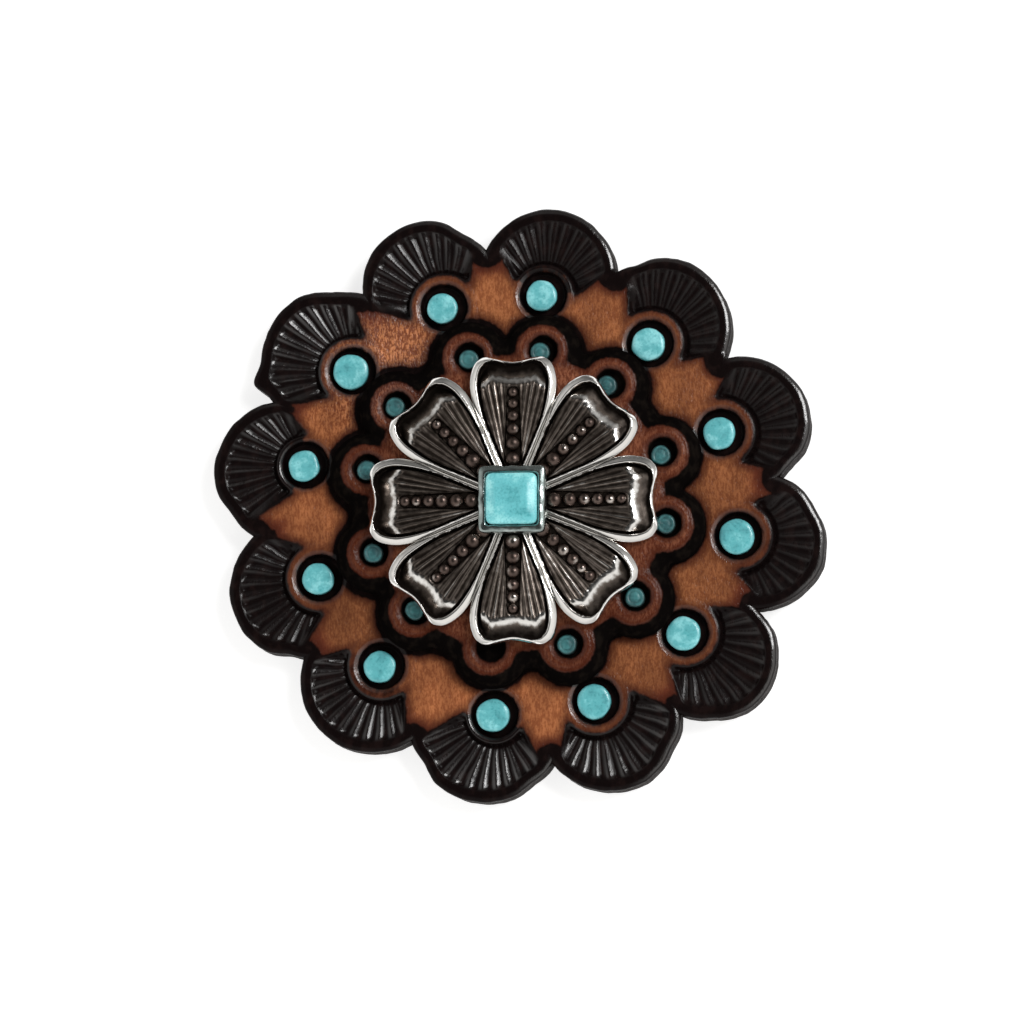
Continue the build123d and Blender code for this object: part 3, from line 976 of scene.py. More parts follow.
    def fan_depth(self, index: int, plan: np.ndarray) -> tuple[np.ndarray, np.ndarray, np.ndarray]:
        """Where plane points lie in a lobe's fan.

        Args:
            index: The lobe.
            plan: The points.

        Returns:
            Their depth inside the fan, their share of the way out across it, and their angle in degrees.
        """
        seat, centre, radius = self.seats[index], self.arc_centres[index], self.arc_radii[index]
        middle = bearing_from(seat, self.tips[index])
        away = plan - seat
        reach = np.maximum(np.linalg.norm(away, axis=-1), 1e-9)
        start = self.heel(index)
        angle = centred(np.arctan2(away[..., 1], away[..., 0]) - middle)
        outer_arc = radius - self.fan_border
        span = reach_to_circle(seat, away / reach[..., None], centre, outer_arc)
        share = np.clip((reach - start) / np.maximum(span - start, 0.1), 0, 1)

        heel = start * polar(self.fan_inner_half, 1.0)
        sides = directions(middle + np.radians([self.fan_outer_half, -self.fan_outer_half]))
        side_reach = reach_to_circle(seat, sides, centre, outer_arc)
        local = np.stack([reach * np.cos(angle), reach * np.abs(np.sin(angle))], -1)
        toe_high, toe_low = (length * polar(self.fan_outer_half, 1.0) for length in side_reach)
        toe = np.where((angle > 0)[..., None], toe_high, toe_low)
        run = (toe - heel) / np.linalg.norm(toe - heel, axis=-1, keepdims=True)
        side = -run[..., 0] * (local - heel)[..., 1] + run[..., 1] * (local - heel)[..., 0]
        inner = rounded_meet(side, reach - start, self.fan_corner)
        inner = np.where(np.abs(angle) > math.radians(self.fan_reach), -3.0, inner)
        outer = outer_arc - np.linalg.norm(plan - centre, axis=-1)
        return rounded_meet(inner, outer, self.fan_corner / 2), share, np.degrees(angle)

    def relief(self, index: int, plan: np.ndarray) -> tuple[np.ndarray, dict[str, np.ndarray]]:
        """The height of the top, and what the finish needs to know of it.

        Args:
            index: The lobe that the points lie in.
            plan: Plane points.

        Returns:
            Their heights and their named values.
        """
        edge = self.edge_depth(plan)
        inside, share, angle = self.fan_depth(index, plan)
        from_seat = plan - self.seats[index]
        seat_reach = np.linalg.norm(from_seat, axis=-1)
        start = self.heel(index)

        height = self.swell_height * soft_noise(plan, self.swell_pitch, self.seed)
        height += self.ripple_height * soft_noise(plan, self.ripple_pitch, self.seed + 1)
        height += self.top - self.settle
        # The ring between seat and fan is a soft roll
        roll = (seat_reach - self.seat_radius) / (start - self.seat_radius)
        height += self.ring_swell * np.sin(np.clip(roll, 0, 1) * math.pi)

        # The fan's floor is deepest at its heel, and its ridges run out to the border
        pressed = ease((inside + 0.07) / 0.26)
        seed = self.seed + index
        wobble = self.ridge_wobble * soft_noise(np.stack([angle / 9, share * 3], -1), 1.0, seed + 2)
        phase = (angle + wobble + self.fan_outer_half) / self.ridge_pitch
        uneven = 1 + self.ridge_uneven * soft_noise(np.stack([phase, share * 2], -1), 1.0, seed + 30)
        half = self.ridge_share * np.radians(self.ridge_pitch) * np.clip(seat_reach, *self.ridge_spread)
        aside = np.abs(phase - np.round(phase)) / self.ridge_share
        flank = np.sqrt(np.minimum(aside, self.ridge_foot) ** 2 + 0.02) - 0.14
        foot = np.clip(aside - self.ridge_foot, 0, 1 - self.ridge_foot)
        height -= pressed * (self.fan_floor + self.fan_heel * (1 - share) ** 1.05)
        furrow = self.ridge_slope * flank + self.foot_slope * foot
        height -= ease((inside - 0.04) / 0.40) * half * uneven * furrow

        # The ring rolls over into the fan's heel
        over_heel = np.clip(inside + self.heel_roll, 0, self.heel_roll)
        beside = ease((start + 0.45 - seat_reach) / 0.3)
        height -= beside * self.heel_slope * over_heel ** 2 / (over_heel + 0.08)

        # The seat's wall and its rounded lip
        lip = np.clip((self.seat_radius + self.lip_round - seat_reach) / self.lip_round, 0, 1)
        on_lip = ease(lip / 0.2) * ease((seat_reach - self.seat_radius + 0.04) / 0.06)
        height -= self.lip_slope * self.lip_round * lip ** 1.3
        wall = ease((self.seat_radius - seat_reach) / 0.17)
        height -= wall * (self.seat_depth - self.lip_slope * self.lip_round)

        # The cut edge is rounded over, and the border falls towards it
        over = np.clip((self.edge_round - edge) / self.edge_round, 0, 1)
        height -= self.edge_round * (1 - np.sqrt(1 - over ** 2))
        fall = np.clip(self.edge_fall - edge, 0, self.edge_fall)
        height -= self.edge_slope * fall ** 2 / (fall + 0.15)

        notches = np.array([self.notches[index - 1], self.notches[index]])
        to_notch = np.linalg.norm(plan[..., None, :] - notches, axis=-1).min(-1)
        ring = np.minimum(start + 0.2 - seat_reach, self.ring_half - np.abs(angle))
        ring_dye = np.where(ring > 0, -0.75 + 0.95 * self.scallops[index].ring_dye, -9.0)
        # Where the leather is black: its dye, and a band of painted shadow round the small rosette's foot
        dyed = np.maximum.reduce([
            inside + 0.32, self.dyed_border - edge, self.seat_radius + 0.10 - seat_reach,
            self.notch_dye - to_notch, ring_dye, self.dye_and_shade_band(plan),
        ])
        scorch = 0.85 * ease((3.4 - edge) / 1.8)

        # Hands rub the ridges, the edge and the far lip of each seat bright
        light = polar(self.light_bearing, 1.0)
        outward = plan - self.arc_centres[index]
        edge_way = (outward @ light) / np.maximum(np.linalg.norm(outward, axis=-1), 1e-6)
        lip_way = (from_seat @ light) / np.maximum(seat_reach, 1e-6)
        polish = np.maximum.reduce([
            self.wear(index) * ease((0.82 - aside) / 0.30) * ease(inside / 0.25) * (0.25 + 0.75 * share),
            ease((self.edge_fall - edge) / 0.2) * ease((edge - 0.08) / 0.1) * ease((edge_way + 0.2) / 0.7),
            on_lip * (0.06 + 0.80 * ease((-lip_way - 0.1) / 0.6)),
            0.3 * self.wear(index) * beside * ease(over_heel / 0.12) * ease((0.03 - inside) / 0.06),
        ])
        return height, {"dyed": dyed, "scorch": scorch, "layer": Face.GRAIN.value, "polish": polish}

    def dye_and_shade_band(self, plan: np.ndarray) -> np.ndarray:
        """How far inside the black band round the small rosette's foot plane points lie: dye and painted
        shadow, wider towards gutter_bearing.
        """
        away = plan @ polar(self.gutter_bearing, 1.0) / np.linalg.norm(plan, axis=-1)
        width = self.gutter_width * (1 + 0.75 * away)
        return self.upper.depth(plan, self.upper.foot_radius, self.upper.waist_foot) + width

    def ragged(self, plan: np.ndarray) -> np.ndarray:
        """Plane points moved a little, as a hand-cut edge is, and less the further in they lie."""
        edge = self.edge_depth(plan)
        weight = 1 - ease(edge / 1.2)
        rough = 1.5 * soft_shift(plan, 2.3, self.seed + 60) + 0.5 * soft_shift(plan, 0.6, self.seed + 62)
        moved = plan + self.edge_ragged * weight[..., None] * rough
        for slip in self.slips:
            place = polar(slip.bearing, slip.reach)
            away = place - self.arc_centres
            arc = int(np.argmax(self.arc_radii - np.linalg.norm(away, axis=1)))
            way = away[arc] / np.linalg.norm(away[arc])
            near = np.exp(-((plan - place) ** 2).sum(-1) / slip.spread ** 2)
            moved = moved + slip.outward * near[..., None] * way
        return moved

    def build(self, material: bpy.types.Material, edge: bpy.types.Material) -> bpy.types.Object:
        """Makes the rosette's mesh and dresses it, with a finish of its own on the cut edge."""
        draft = RosetteDraft(middle_radius=self.middle_radius)
        for index, seat in enumerate(self.seats):
            ends, crowd = self.boundary(index)
            near, shares = self.rings(index, np.linalg.norm(ends - seat, axis=1), crowd)
            plan = ray_grid(seat, ends, near, shares)
            height, values = self.relief(index, plan)
            floor = (*seat, self.top - self.settle - self.seat_depth)
            rim_count = int((crowd == 1).sum())
            draft.lay_lobe(with_height(self.ragged(plan), height), ends, rim_count, floor, values)
        self.add_wall(draft)
        made = draft.build("leather_base", 75.0, material, edge)
        layer = made.data.attributes["layer"].data
        for face in made.data.polygons:
            mean = sum(layer[corner].value for corner in face.vertices) / len(face.vertices)
            face.material_index = int(0.2 < mean < 0.8)
        return made

    def add_wall(self, draft: RosetteDraft) -> None:
        """Adds the cut edge, the back with its recess, and the hidden middle to the tooled top."""
        plan = np.concatenate(draft.rims)
        owner = self.arc_centres[np.repeat(np.arange(len(draft.rims)), [len(rim) for rim in draft.rims])]
        outward = (plan - owner) / np.linalg.norm(plan - owner, axis=1, keepdims=True)
        edge_top = self.top - self.settle - self.edge_round - self.edge_drop
        levels = np.concatenate([np.linspace(edge_top, self.back_bevel, 9)[1:], [0.1, 0.0]])
        insets = np.concatenate([np.zeros(8), [0.10, self.back_bevel]])
        base = self.ragged(plan)
        columns = [np.concatenate(draft.rim_numbers)]
        for level, inset in zip(levels, insets):
            place = with_height(plan, level)
            rough = soft_noise(place, 0.55, self.seed + 70) + 0.6 * soft_noise(place, 1.6, self.seed + 71)
            climb = min(max((level - 0.2) / (edge_top - 0.2), 0.0), 1.0)
            rough = self.wall_rough * math.sin(math.pi * climb) ** 0.5 * rough
            shifted = base + outward * (rough - inset)[:, None]
            columns.append(draft.add(with_height(shifted, level), dyed=1.0, layer=Face.EDGE.value))
        for ring in (base - outward * (self.back_bevel + 0.15), owner + 0.55 * (plan - owner)):
            columns.append(draft.add(with_height(ring, 0.0), dyed=-2.0, layer=Face.FLESH.value))
        draft.skin(np.stack(columns, 1)[:, ::-1])
        draft.lay_back(columns[-1], [
            *((radius, 0.0, Face.FLESH) for radius in (*self.back_radii, self.recess_radius)),
            (self.recess_radius, self.recess_depth, Face.FLESH),
            (self.hole_radius, self.recess_depth, Face.FLESH),
            *((radius, self.top - 0.1, Face.GRAIN) for radius in (self.hole_radius, self.hidden_radius)),
        ])


@dataclass
class SmallRosette:
    """The small leather rosette: a lobe with a deep seat round each spot, and a bevelled black wall."""

    ring_radius: float = 15.86
    foot_radius: float = 4.0
    crown_radius: float = 2.62
    waist_foot: float = 17.30
    waist_crown: float = 15.32
    middle_radius: float = 9.0
    hole_radius: float = 3.08
    foot_height: float = 1.3
    seat_radius: float = 1.50
    seat_shift: tuple[float, float] = (0.16, 0.10)
    seat_depth: float = 1.10
    wide_bearing: float = -25.0
    ring_widening: float = 0.16
    dish_radius: float = 2.15
    dish_depth: float = 0.30
    waist_blend: float = 0.5
    crown_round: float = 0.10
    crown_reach: float = 0.45
    ripple: float = 0.02
    scorch: float = 0.25
    back_radius: float = 12.0
    wall_rough: float = 0.04
    rim_rays: int = 46
    seat_rings: tuple[float, ...] = (-0.13, -0.09, -0.05, -0.01, 0.04, 0.10, 0.18, 0.30, 0.45, 0.6, 0.72)
    seed: int = 83
    seats: tuple[tuple[float, float], ...] = (
        (18, 1.010), (51, 0.985), (80, 1.010), (108, 1.005), (141, 1.015), (167, 1.010),
        (199, 0.995), (227, 0.970), (260, 0.975), (290, 1.000), (321, 1.005), (351, 1.000),
    )

    def __post_init__(self) -> None:
        """Works out the lobes from the table, and the heights from the frame."""
        low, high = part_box("inner_rosette")
        self.bottom, self.top = low.z / MM, high.z / MM
        self.lobes = np.array([polar(bearing, self.ring_radius * share) for bearing, share in self.seats])
        self.holes = self.lobes + np.array(self.seat_shift)
        self.foot_top = self.bottom + self.foot_height

    def depth(self, plan: np.ndarray, lobe_radius: float, waist: float) -> np.ndarray:
        """How far inside the round middle and the lobes plane points lie.

        Args:
            plan: The points.
            lobe_radius: The lobes' radius.
            waist: The middle's radius.

        Returns:
            The depth, positive inside.
        """
        lobe = lobe_radius - np.linalg.norm(plan[..., None, :] - self.lobes, axis=-1).min(-1)
        middle = waist - np.linalg.norm(plan, axis=-1)
        near = np.maximum(lobe, middle)
        gap = np.minimum(lobe, middle) - near
        return near + 0.25 * self.waist_blend * np.clip(1 + gap / self.waist_blend, 0, 1) ** 2

    def waists(self) -> np.ndarray:
        """The points of the foot's outline midway between lobes."""
        found = []
        for i in range(len(self.lobes)):
            low, high = self.lobes[i], self.lobes[(i + 1) % len(self.lobes)]
            way = low / np.linalg.norm(low) + high / np.linalg.norm(high)
            found.append(way / np.linalg.norm(way) * self.waist_foot)
        return np.array(found)

    def boundary(self, index: int) -> tuple[np.ndarray, int]:
        """The boundary of one lobe's stretch, counter-clockwise from the waist before it.

        Returns:
            Its points, and how many of them lie on the foot's outline.
        """
        seat, waists = self.holes[index], self.waists()
        before, after = waists[index - 1], waists[index]
        middle = bearing_from(np.zeros(2), seat)
        start, end = (centred(bearing_from(seat, point) - middle) for point in (before, after))
        bearings = np.linspace(start, end, self.rim_rays) + middle
        rays = directions(bearings)
        lobe = reach_to_circle(seat, rays, self.lobes[index], self.foot_radius)
        reach = np.maximum(lobe, reach_to_circle(seat, rays, np.zeros(2), self.waist_foot))
        own = np.where(np.abs(bearings - middle) < math.radians(100), reach, lobe)
        rim = seat + rays * own[:, None]
        rim[0], rim[-1] = before, after
        way = way_round_middle(before, after, self.middle_radius, np.linspace(0, 1, 12)[1:], 8)
        return np.concatenate([rim, way]), len(rim)

    def relief(self, index: int, plan: np.ndarray) -> tuple[np.ndarray, dict[str, np.ndarray]]:
        """The height of the top, and what the finish needs to know of it.

        Args:
            index: The lobe that the points lie in.
            plan: Plane points.

        Returns:
            Their heights and their named values.
        """
        seat_reach = np.linalg.norm(plan - self.holes[index], axis=-1)
        foot = np.maximum(self.depth(plan, self.foot_radius, self.waist_foot), 0.0)
        crown = self.depth(plan, self.crown_radius, self.waist_crown)
        outside = np.maximum(-crown, 0.0)
        climb = foot / np.maximum(foot + outside, 1e-6)
        rise = self.top - self.foot_top
        bevel = np.sin(np.clip(climb, 0, 1) * math.pi / 2) ** 0.9
        height = self.foot_top + rise * bevel
        height -= self.crown_round * ease((self.crown_reach - crown) / self.crown_reach) * ease(climb * 3)
        height += self.ripple * soft_noise(plan, 1.6, self.seed) - self.ripple

        dish = np.clip((self.dish_radius - seat_reach) / (self.dish_radius - self.seat_radius), 0, 1)
        height -= self.dish_depth * dish ** 1.7
        wall = ease((self.seat_radius - seat_reach) / 0.12)
        height -= wall * (self.seat_depth - self.dish_depth)
        away = plan @ polar(self.wide_bearing, 1.0) / np.maximum(np.linalg.norm(plan, axis=-1), 1e-6)
        dyed = np.maximum(-crown - self.ring_widening * (1 + away), self.seat_radius + 0.10 - seat_reach)
        return height, {"dyed": dyed, "scorch": self.scorch, "layer": Face.GRAIN.value}

    def build(self, material: bpy.types.Material) -> bpy.types.Object:
        """Makes the rosette's mesh and dresses it."""
        draft = RosetteDraft(middle_radius=self.middle_radius)
        near = np.concatenate([self.seat_radius * np.array([0.45, 0.85]),
                               self.seat_radius + np.array(self.seat_rings)])
        shares = np.linspace(0, 1, 21)[1:]
        for index, centre in enumerate(self.holes):
            ends, rim_count = self.boundary(index)
            plan = ray_grid(centre, ends, near, np.broadcast_to(shares, (len(ends), len(shares))))
            height, values = self.relief(index, plan)
            floor = (*centre, self.top - self.seat_depth - 0.03)
            draft.lay_lobe(with_height(plan, height), ends, rim_count, floor, values)
        plan = np.concatenate(draft.rims)
        columns = [np.concatenate(draft.rim_numbers)]
        outward = plan / np.linalg.norm(plan, axis=1, keepdims=True)
        for level in np.linspace(self.foot_top, self.bottom, 6)[1:]:
            rough = soft_noise(with_height(plan, level), 0.5, self.seed + 5)
            shifted = plan + outward * (self.wall_rough * rough * (level > self.bottom))[:, None]
            columns.append(draft.add(with_height(shifted, level), dyed=1.0, layer=Face.EDGE.value))
        draft.skin(np.stack(columns, 1)[:, ::-1])
        draft.lay_back(columns[-1], [
            (self.back_radius, self.bottom, Face.FLESH), (self.hole_radius, self.bottom, Face.FLESH),
            (self.hole_radius, self.top - 0.1, Face.FLESH),
        ])
        return draft.build("leather_rosette", 75.0, material)


# Geometry nodes that repeat a piece


def new_tree(name: str, inputs: dict[str, str],
             ) -> tuple[Wiring, bpy.types.Node, bpy.types.Node, dict[str, str]]:
    """An empty geometry tree with a geometry input and output and further named inputs.

    Args:
        name: The tree's name.
        inputs: For each further input, its socket type.

    Returns:
        Its wiring, its input node, its output node, and the inputs' identifiers.
    """
    tree = bpy.data.node_groups.new(name, "GeometryNodeTree")
    tree.interface.new_socket("Geometry", in_out="INPUT", socket_type="NodeSocketGeometry")
    tree.interface.new_socket("Geometry", in_out="OUTPUT", socket_type="NodeSocketGeometry")
    made = {key: tree.interface.new_socket(key, in_out="INPUT", socket_type=kind).identifier
            for key, kind in inputs.items()}
    return Wiring(tree), tree.nodes.new("NodeGroupInput"), tree.nodes.new("NodeGroupOutput"), made


def grow(source: bpy.types.Object, name: str, tree: bpy.types.NodeTree,
         settings: dict[str, object]) -> bpy.types.Object:
    """Runs a geometry tree on an object and keeps the result as a plain mesh.

    Args:
        source: The object that the tree starts from, which is removed.
        name: The new object's name.
        tree: The tree.
        settings: Values for its inputs, by identifier.

    Returns:
        The new object.
    """
    modifier = source.modifiers.new(tree.name, "NODES")
    modifier.node_group = tree
    for key, value in settings.items():
        modifier[key] = value
    bpy.context.view_layer.update()
    graph = bpy.context.evaluated_depsgraph_get()
    mesh = bpy.data.meshes.new_from_object(source.evaluated_get(graph), depsgraph=graph)
    mesh.name = name
    bpy.data.objects.remove(source)
    return show(name, mesh)


def copies(w: Wiring, points: Socket, instance: Socket, **settings: Socket) -> Socket:
    """Real copies of a geometry on points."""
    placed = w.node("GeometryNodeInstanceOnPoints", Points=points, Instance=instance, **settings)
    return w.node("GeometryNodeRealizeInstances", Geometry=placed.outputs["Instances"]).outputs[0]


def dress(w: Wiring, end: bpy.types.Node, geometry: Socket, material: Socket) -> None:
    """Ends a tree with a geometry in its material."""
    dressed = w.node("GeometryNodeSetMaterial", Geometry=geometry, Material=material)
    w.feed(end.inputs["Geometry"], dressed.outputs[0])


def shake(w: Wiring, geometry: object, uneven: object, cells: object,
          axes: tuple[float, float, float]) -> Socket:
    """Moves the points of a geometry by smooth noise.

    Args:
        w: The tree's wiring.
        geometry: The geometry.
        uneven: How far the points move.
        cells: The noise's cells per metre.
        axes: The share of the move along each axis.

    Returns:
        The moved geometry.
    """
    where = w.node("GeometryNodeInputPosition").outputs[0]
    noise = w.node("ShaderNodeTexNoise", Vector=where, Scale=cells, Detail=1.0).outputs["Color"]
    flat = w.vector("MULTIPLY", w.vector("SUBTRACT", noise, (0.5, 0.5, 0.5)).outputs[0], axes).outputs[0]
    moved = w.node("ShaderNodeVectorMath", {"operation": "SCALE"}, Vector=flat, Scale=uneven)
    return w.node("GeometryNodeSetPosition", Geometry=geometry, Offset=moved.outputs[0]).outputs[0]


def ring_tree() -> tuple[bpy.types.NodeTree, dict[str, str]]:
    """A tree that repeats its geometry on evenly turned copies round the Z axis.

    Returns:
        The tree, and its inputs' identifiers.
    """
    kinds = {"Copies": "NodeSocketInt", "Uneven": "NodeSocketFloat", "Cells": "NodeSocketFloat",
             "Material": "NodeSocketMaterial"}
    w, start, end, keys = new_tree("ring_of_petals", kinds)
    line = w.node("GeometryNodeMeshLine", {"mode": "OFFSET"}, Count=start.outputs["Copies"], Offset=(0, 0, 0))
    step = w.math("DIVIDE", math.tau, start.outputs["Copies"])
    turn = w.math("MULTIPLY", w.node("GeometryNodeInputIndex").outputs[0], step)
    rotation = w.node("ShaderNodeCombineXYZ", Z=turn).outputs[0]
    real = copies(w, line.outputs["Mesh"], start.outputs["Geometry"], Rotation=rotation)
    shaped = shake(w, real, start.outputs["Uneven"], start.outputs["Cells"], (0.3, 0.3, 1.0))
    dress(w, end, shaped, start.outputs["Material"])
    return w.tree, keys


def bead_tree() -> tuple[bpy.types.NodeTree, dict[str, str]]:
    """A tree that repeats a bead in a row along each of evenly turned rays.

    Returns:
        The tree, and its inputs' identifiers.
    """
    kinds = {
        "Rays": "NodeSocketInt", "Beads": "NodeSocketInt",
        "First": "NodeSocketFloat", "Pitch": "NodeSocketFloat",
        "Taper": "NodeSocketFloat", "Height": "NodeSocketFloat", "Uneven": "NodeSocketFloat",
        "Seed": "NodeSocketInt", "Material": "NodeSocketMaterial",
    }
    w, start, end, keys = new_tree("rows_of_beads", kinds)
    given = start.outputs
    count = w.math("MULTIPLY", given["Rays"], given["Beads"])
    line = w.node("GeometryNodeMeshLine", {"mode": "OFFSET"}, Count=count, Offset=(0, 0, 0))
    index = w.node("GeometryNodeInputIndex").outputs[0]
    ray = w.math("FLOOR", w.math("DIVIDE", index, given["Beads"]))
    bead = w.math("SUBTRACT", index, w.math("MULTIPLY", ray, given["Beads"]))
    turn = w.math("MULTIPLY", ray, w.math("DIVIDE", math.tau, given["Rays"]))
    shrink = w.math("POWER", given["Taper"], bead)
    run = w.math("DIVIDE", w.math("SUBTRACT", 1.0, shrink), w.math("SUBTRACT", 1.0, given["Taper"]))
    reach = w.math("ADD", given["First"], w.math("MULTIPLY", run, given["Pitch"]))
    across = w.math("MULTIPLY", reach, w.math("COSINE", turn))
    up = w.math("MULTIPLY", reach, w.math("SINE", turn))
    place = w.node("ShaderNodeCombineXYZ", X=across, Y=up, Z=given["Height"]).outputs[0]
    spread = w.node("GeometryNodeSetPosition", Geometry=line.outputs["Mesh"], Position=place)
    low = w.math("SUBTRACT", 1.0, given["Uneven"])
    size = w.node("FunctionNodeRandomValue", {"data_type": "FLOAT"})
    spin = w.node("FunctionNodeRandomValue", {"data_type": "FLOAT_VECTOR"})
    for target, value in ((size.inputs[2], low), (size.inputs[3], 1.0), (size.inputs["Seed"], given["Seed"]),
                          (spin.inputs[1], (math.tau,) * 3), (spin.inputs["Seed"], given["Seed"])):
        w.feed(target, value)
    smaller = w.math("MULTIPLY", size.outputs[1], shrink)
    real = copies(w, spread.outputs[0], given["Geometry"], Rotation=spin.outputs[0], Scale=smaller)
    dress(w, end, real, given["Material"])
    return w.tree, keys


def spot_tree() -> tuple[bpy.types.NodeTree, dict[str, str]]:
    """A tree that sets a spot on each point of its geometry and makes each outline a little uneven.

    Returns:
        The tree, and its inputs' identifiers.
    """
    kinds = {"Spot": "NodeSocketObject", "Uneven": "NodeSocketFloat", "Cells": "NodeSocketFloat",
             "Material": "NodeSocketMaterial"}
    w, start, end, keys = new_tree("spots_in_seats", kinds)
    given = start.outputs
    spot = w.node("GeometryNodeObjectInfo", Object=given["Spot"]).outputs["Geometry"]
    size = w.node("GeometryNodeInputNamedAttribute", {"data_type": "FLOAT"}, Name="size").outputs[0]
    turn = w.node("GeometryNodeInputNamedAttribute", {"data_type": "FLOAT"}, Name="turn").outputs[0]
    scale = w.node("ShaderNodeCombineXYZ", X=size, Y=size, Z=1.0).outputs[0]
    rotation = w.node("ShaderNodeCombineXYZ", Z=turn).outputs[0]
    real = copies(w, given["Geometry"], spot, Rotation=rotation, Scale=scale)
    shaped = shake(w, real, given["Uneven"], given["Cells"], (1.0, 1.0, 0.35))
    dress(w, end, shaped, given["Material"])
    return w.tree, keys


# Spots


@dataclass(frozen=True)
class SpotProfile:
    """Half of a spot's section: shares of its radius, heights under its crown in millimetres, and painted
    shade from its seat.
    """

    shares: tuple[float, ...]
    drops: tuple[float, ...]
    seat_shades: tuple[float, ...]
    columns: int = 44


@dataclass
class Spots:
    """The spots of one rosette, each standing where the frame has it."""

    name: str
    nodes: tuple[str, ...]
    profile: SpotProfile
    uneven: float
    cells_per_mm: float
    shade: float
    seed: int

    def build(self, material: bpy.types.Material) -> bpy.types.Object:
        """Makes one mesh of all the spots and dresses it."""
        boxes = [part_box(node) for node in self.nodes]
        radii = np.array([(high.x - low.x) / 2 / MM for low, high in boxes])
        centres = np.array([[*((low + high) / 2)[:2], high.z] for low, high in boxes]) / MM
        height = (boxes[0][1].z - boxes[0][0].z) / MM
        draw = np.random.default_rng(self.seed)
        seats = bpy.data.meshes.new(self.name + "_seats")
        seats.from_pydata((centres * MM).tolist(), [], [])
        layers = {
            "size": radii / radii.mean(), "turn": draw.uniform(0, math.tau, len(radii)),
            "shade": self.shade + draw.uniform(-0.05, 0.05, len(radii)),
        }
        store(seats, layers)
        source = show(self.name + "_seats", seats)
        pattern = self.pattern(float(radii.mean()), height)
        tree, keys = spot_tree()
        settings = {
            keys["Spot"]: pattern, keys["Uneven"]: self.uneven * MM, keys["Cells"]: self.cells_per_mm / MM,
            keys["Material"]: material,
        }
        made = grow(source, self.name, tree, settings)
        bpy.data.objects.remove(pattern)
        made.data.shade_smooth()
        return made

    def pattern(self, radius: float, height: float) -> bpy.types.Object:
        """One spot, with its crown at the origin.

        Args:
            radius: Its radius.
            height: Its height.

        Returns:
            The object.
        """
        draft = Draft()
        circle = unit_circle(self.profile.columns)
        rows = list(zip(self.profile.shares, self.profile.drops, self.profile.seat_shades))
        # The third column is painted shade from the seat, full on the hidden sides
        rows += [(1.0, 0.7 * height, 1.0), (0.96, height, 1.0)]
        loops = [draft.add(with_height(circle * radius * share, -drop), stain=stain)
                 for share, drop, stain in rows]
        top = draft.add_point(0, 0, -self.profile.drops[0], stain=self.profile.seat_shades[0])
        draft.turned(loops, top, draft.add_point(0, 0, -height, stain=1.0))
        return draft.build(self.name + "_pattern", 60.0)


# The cast flower


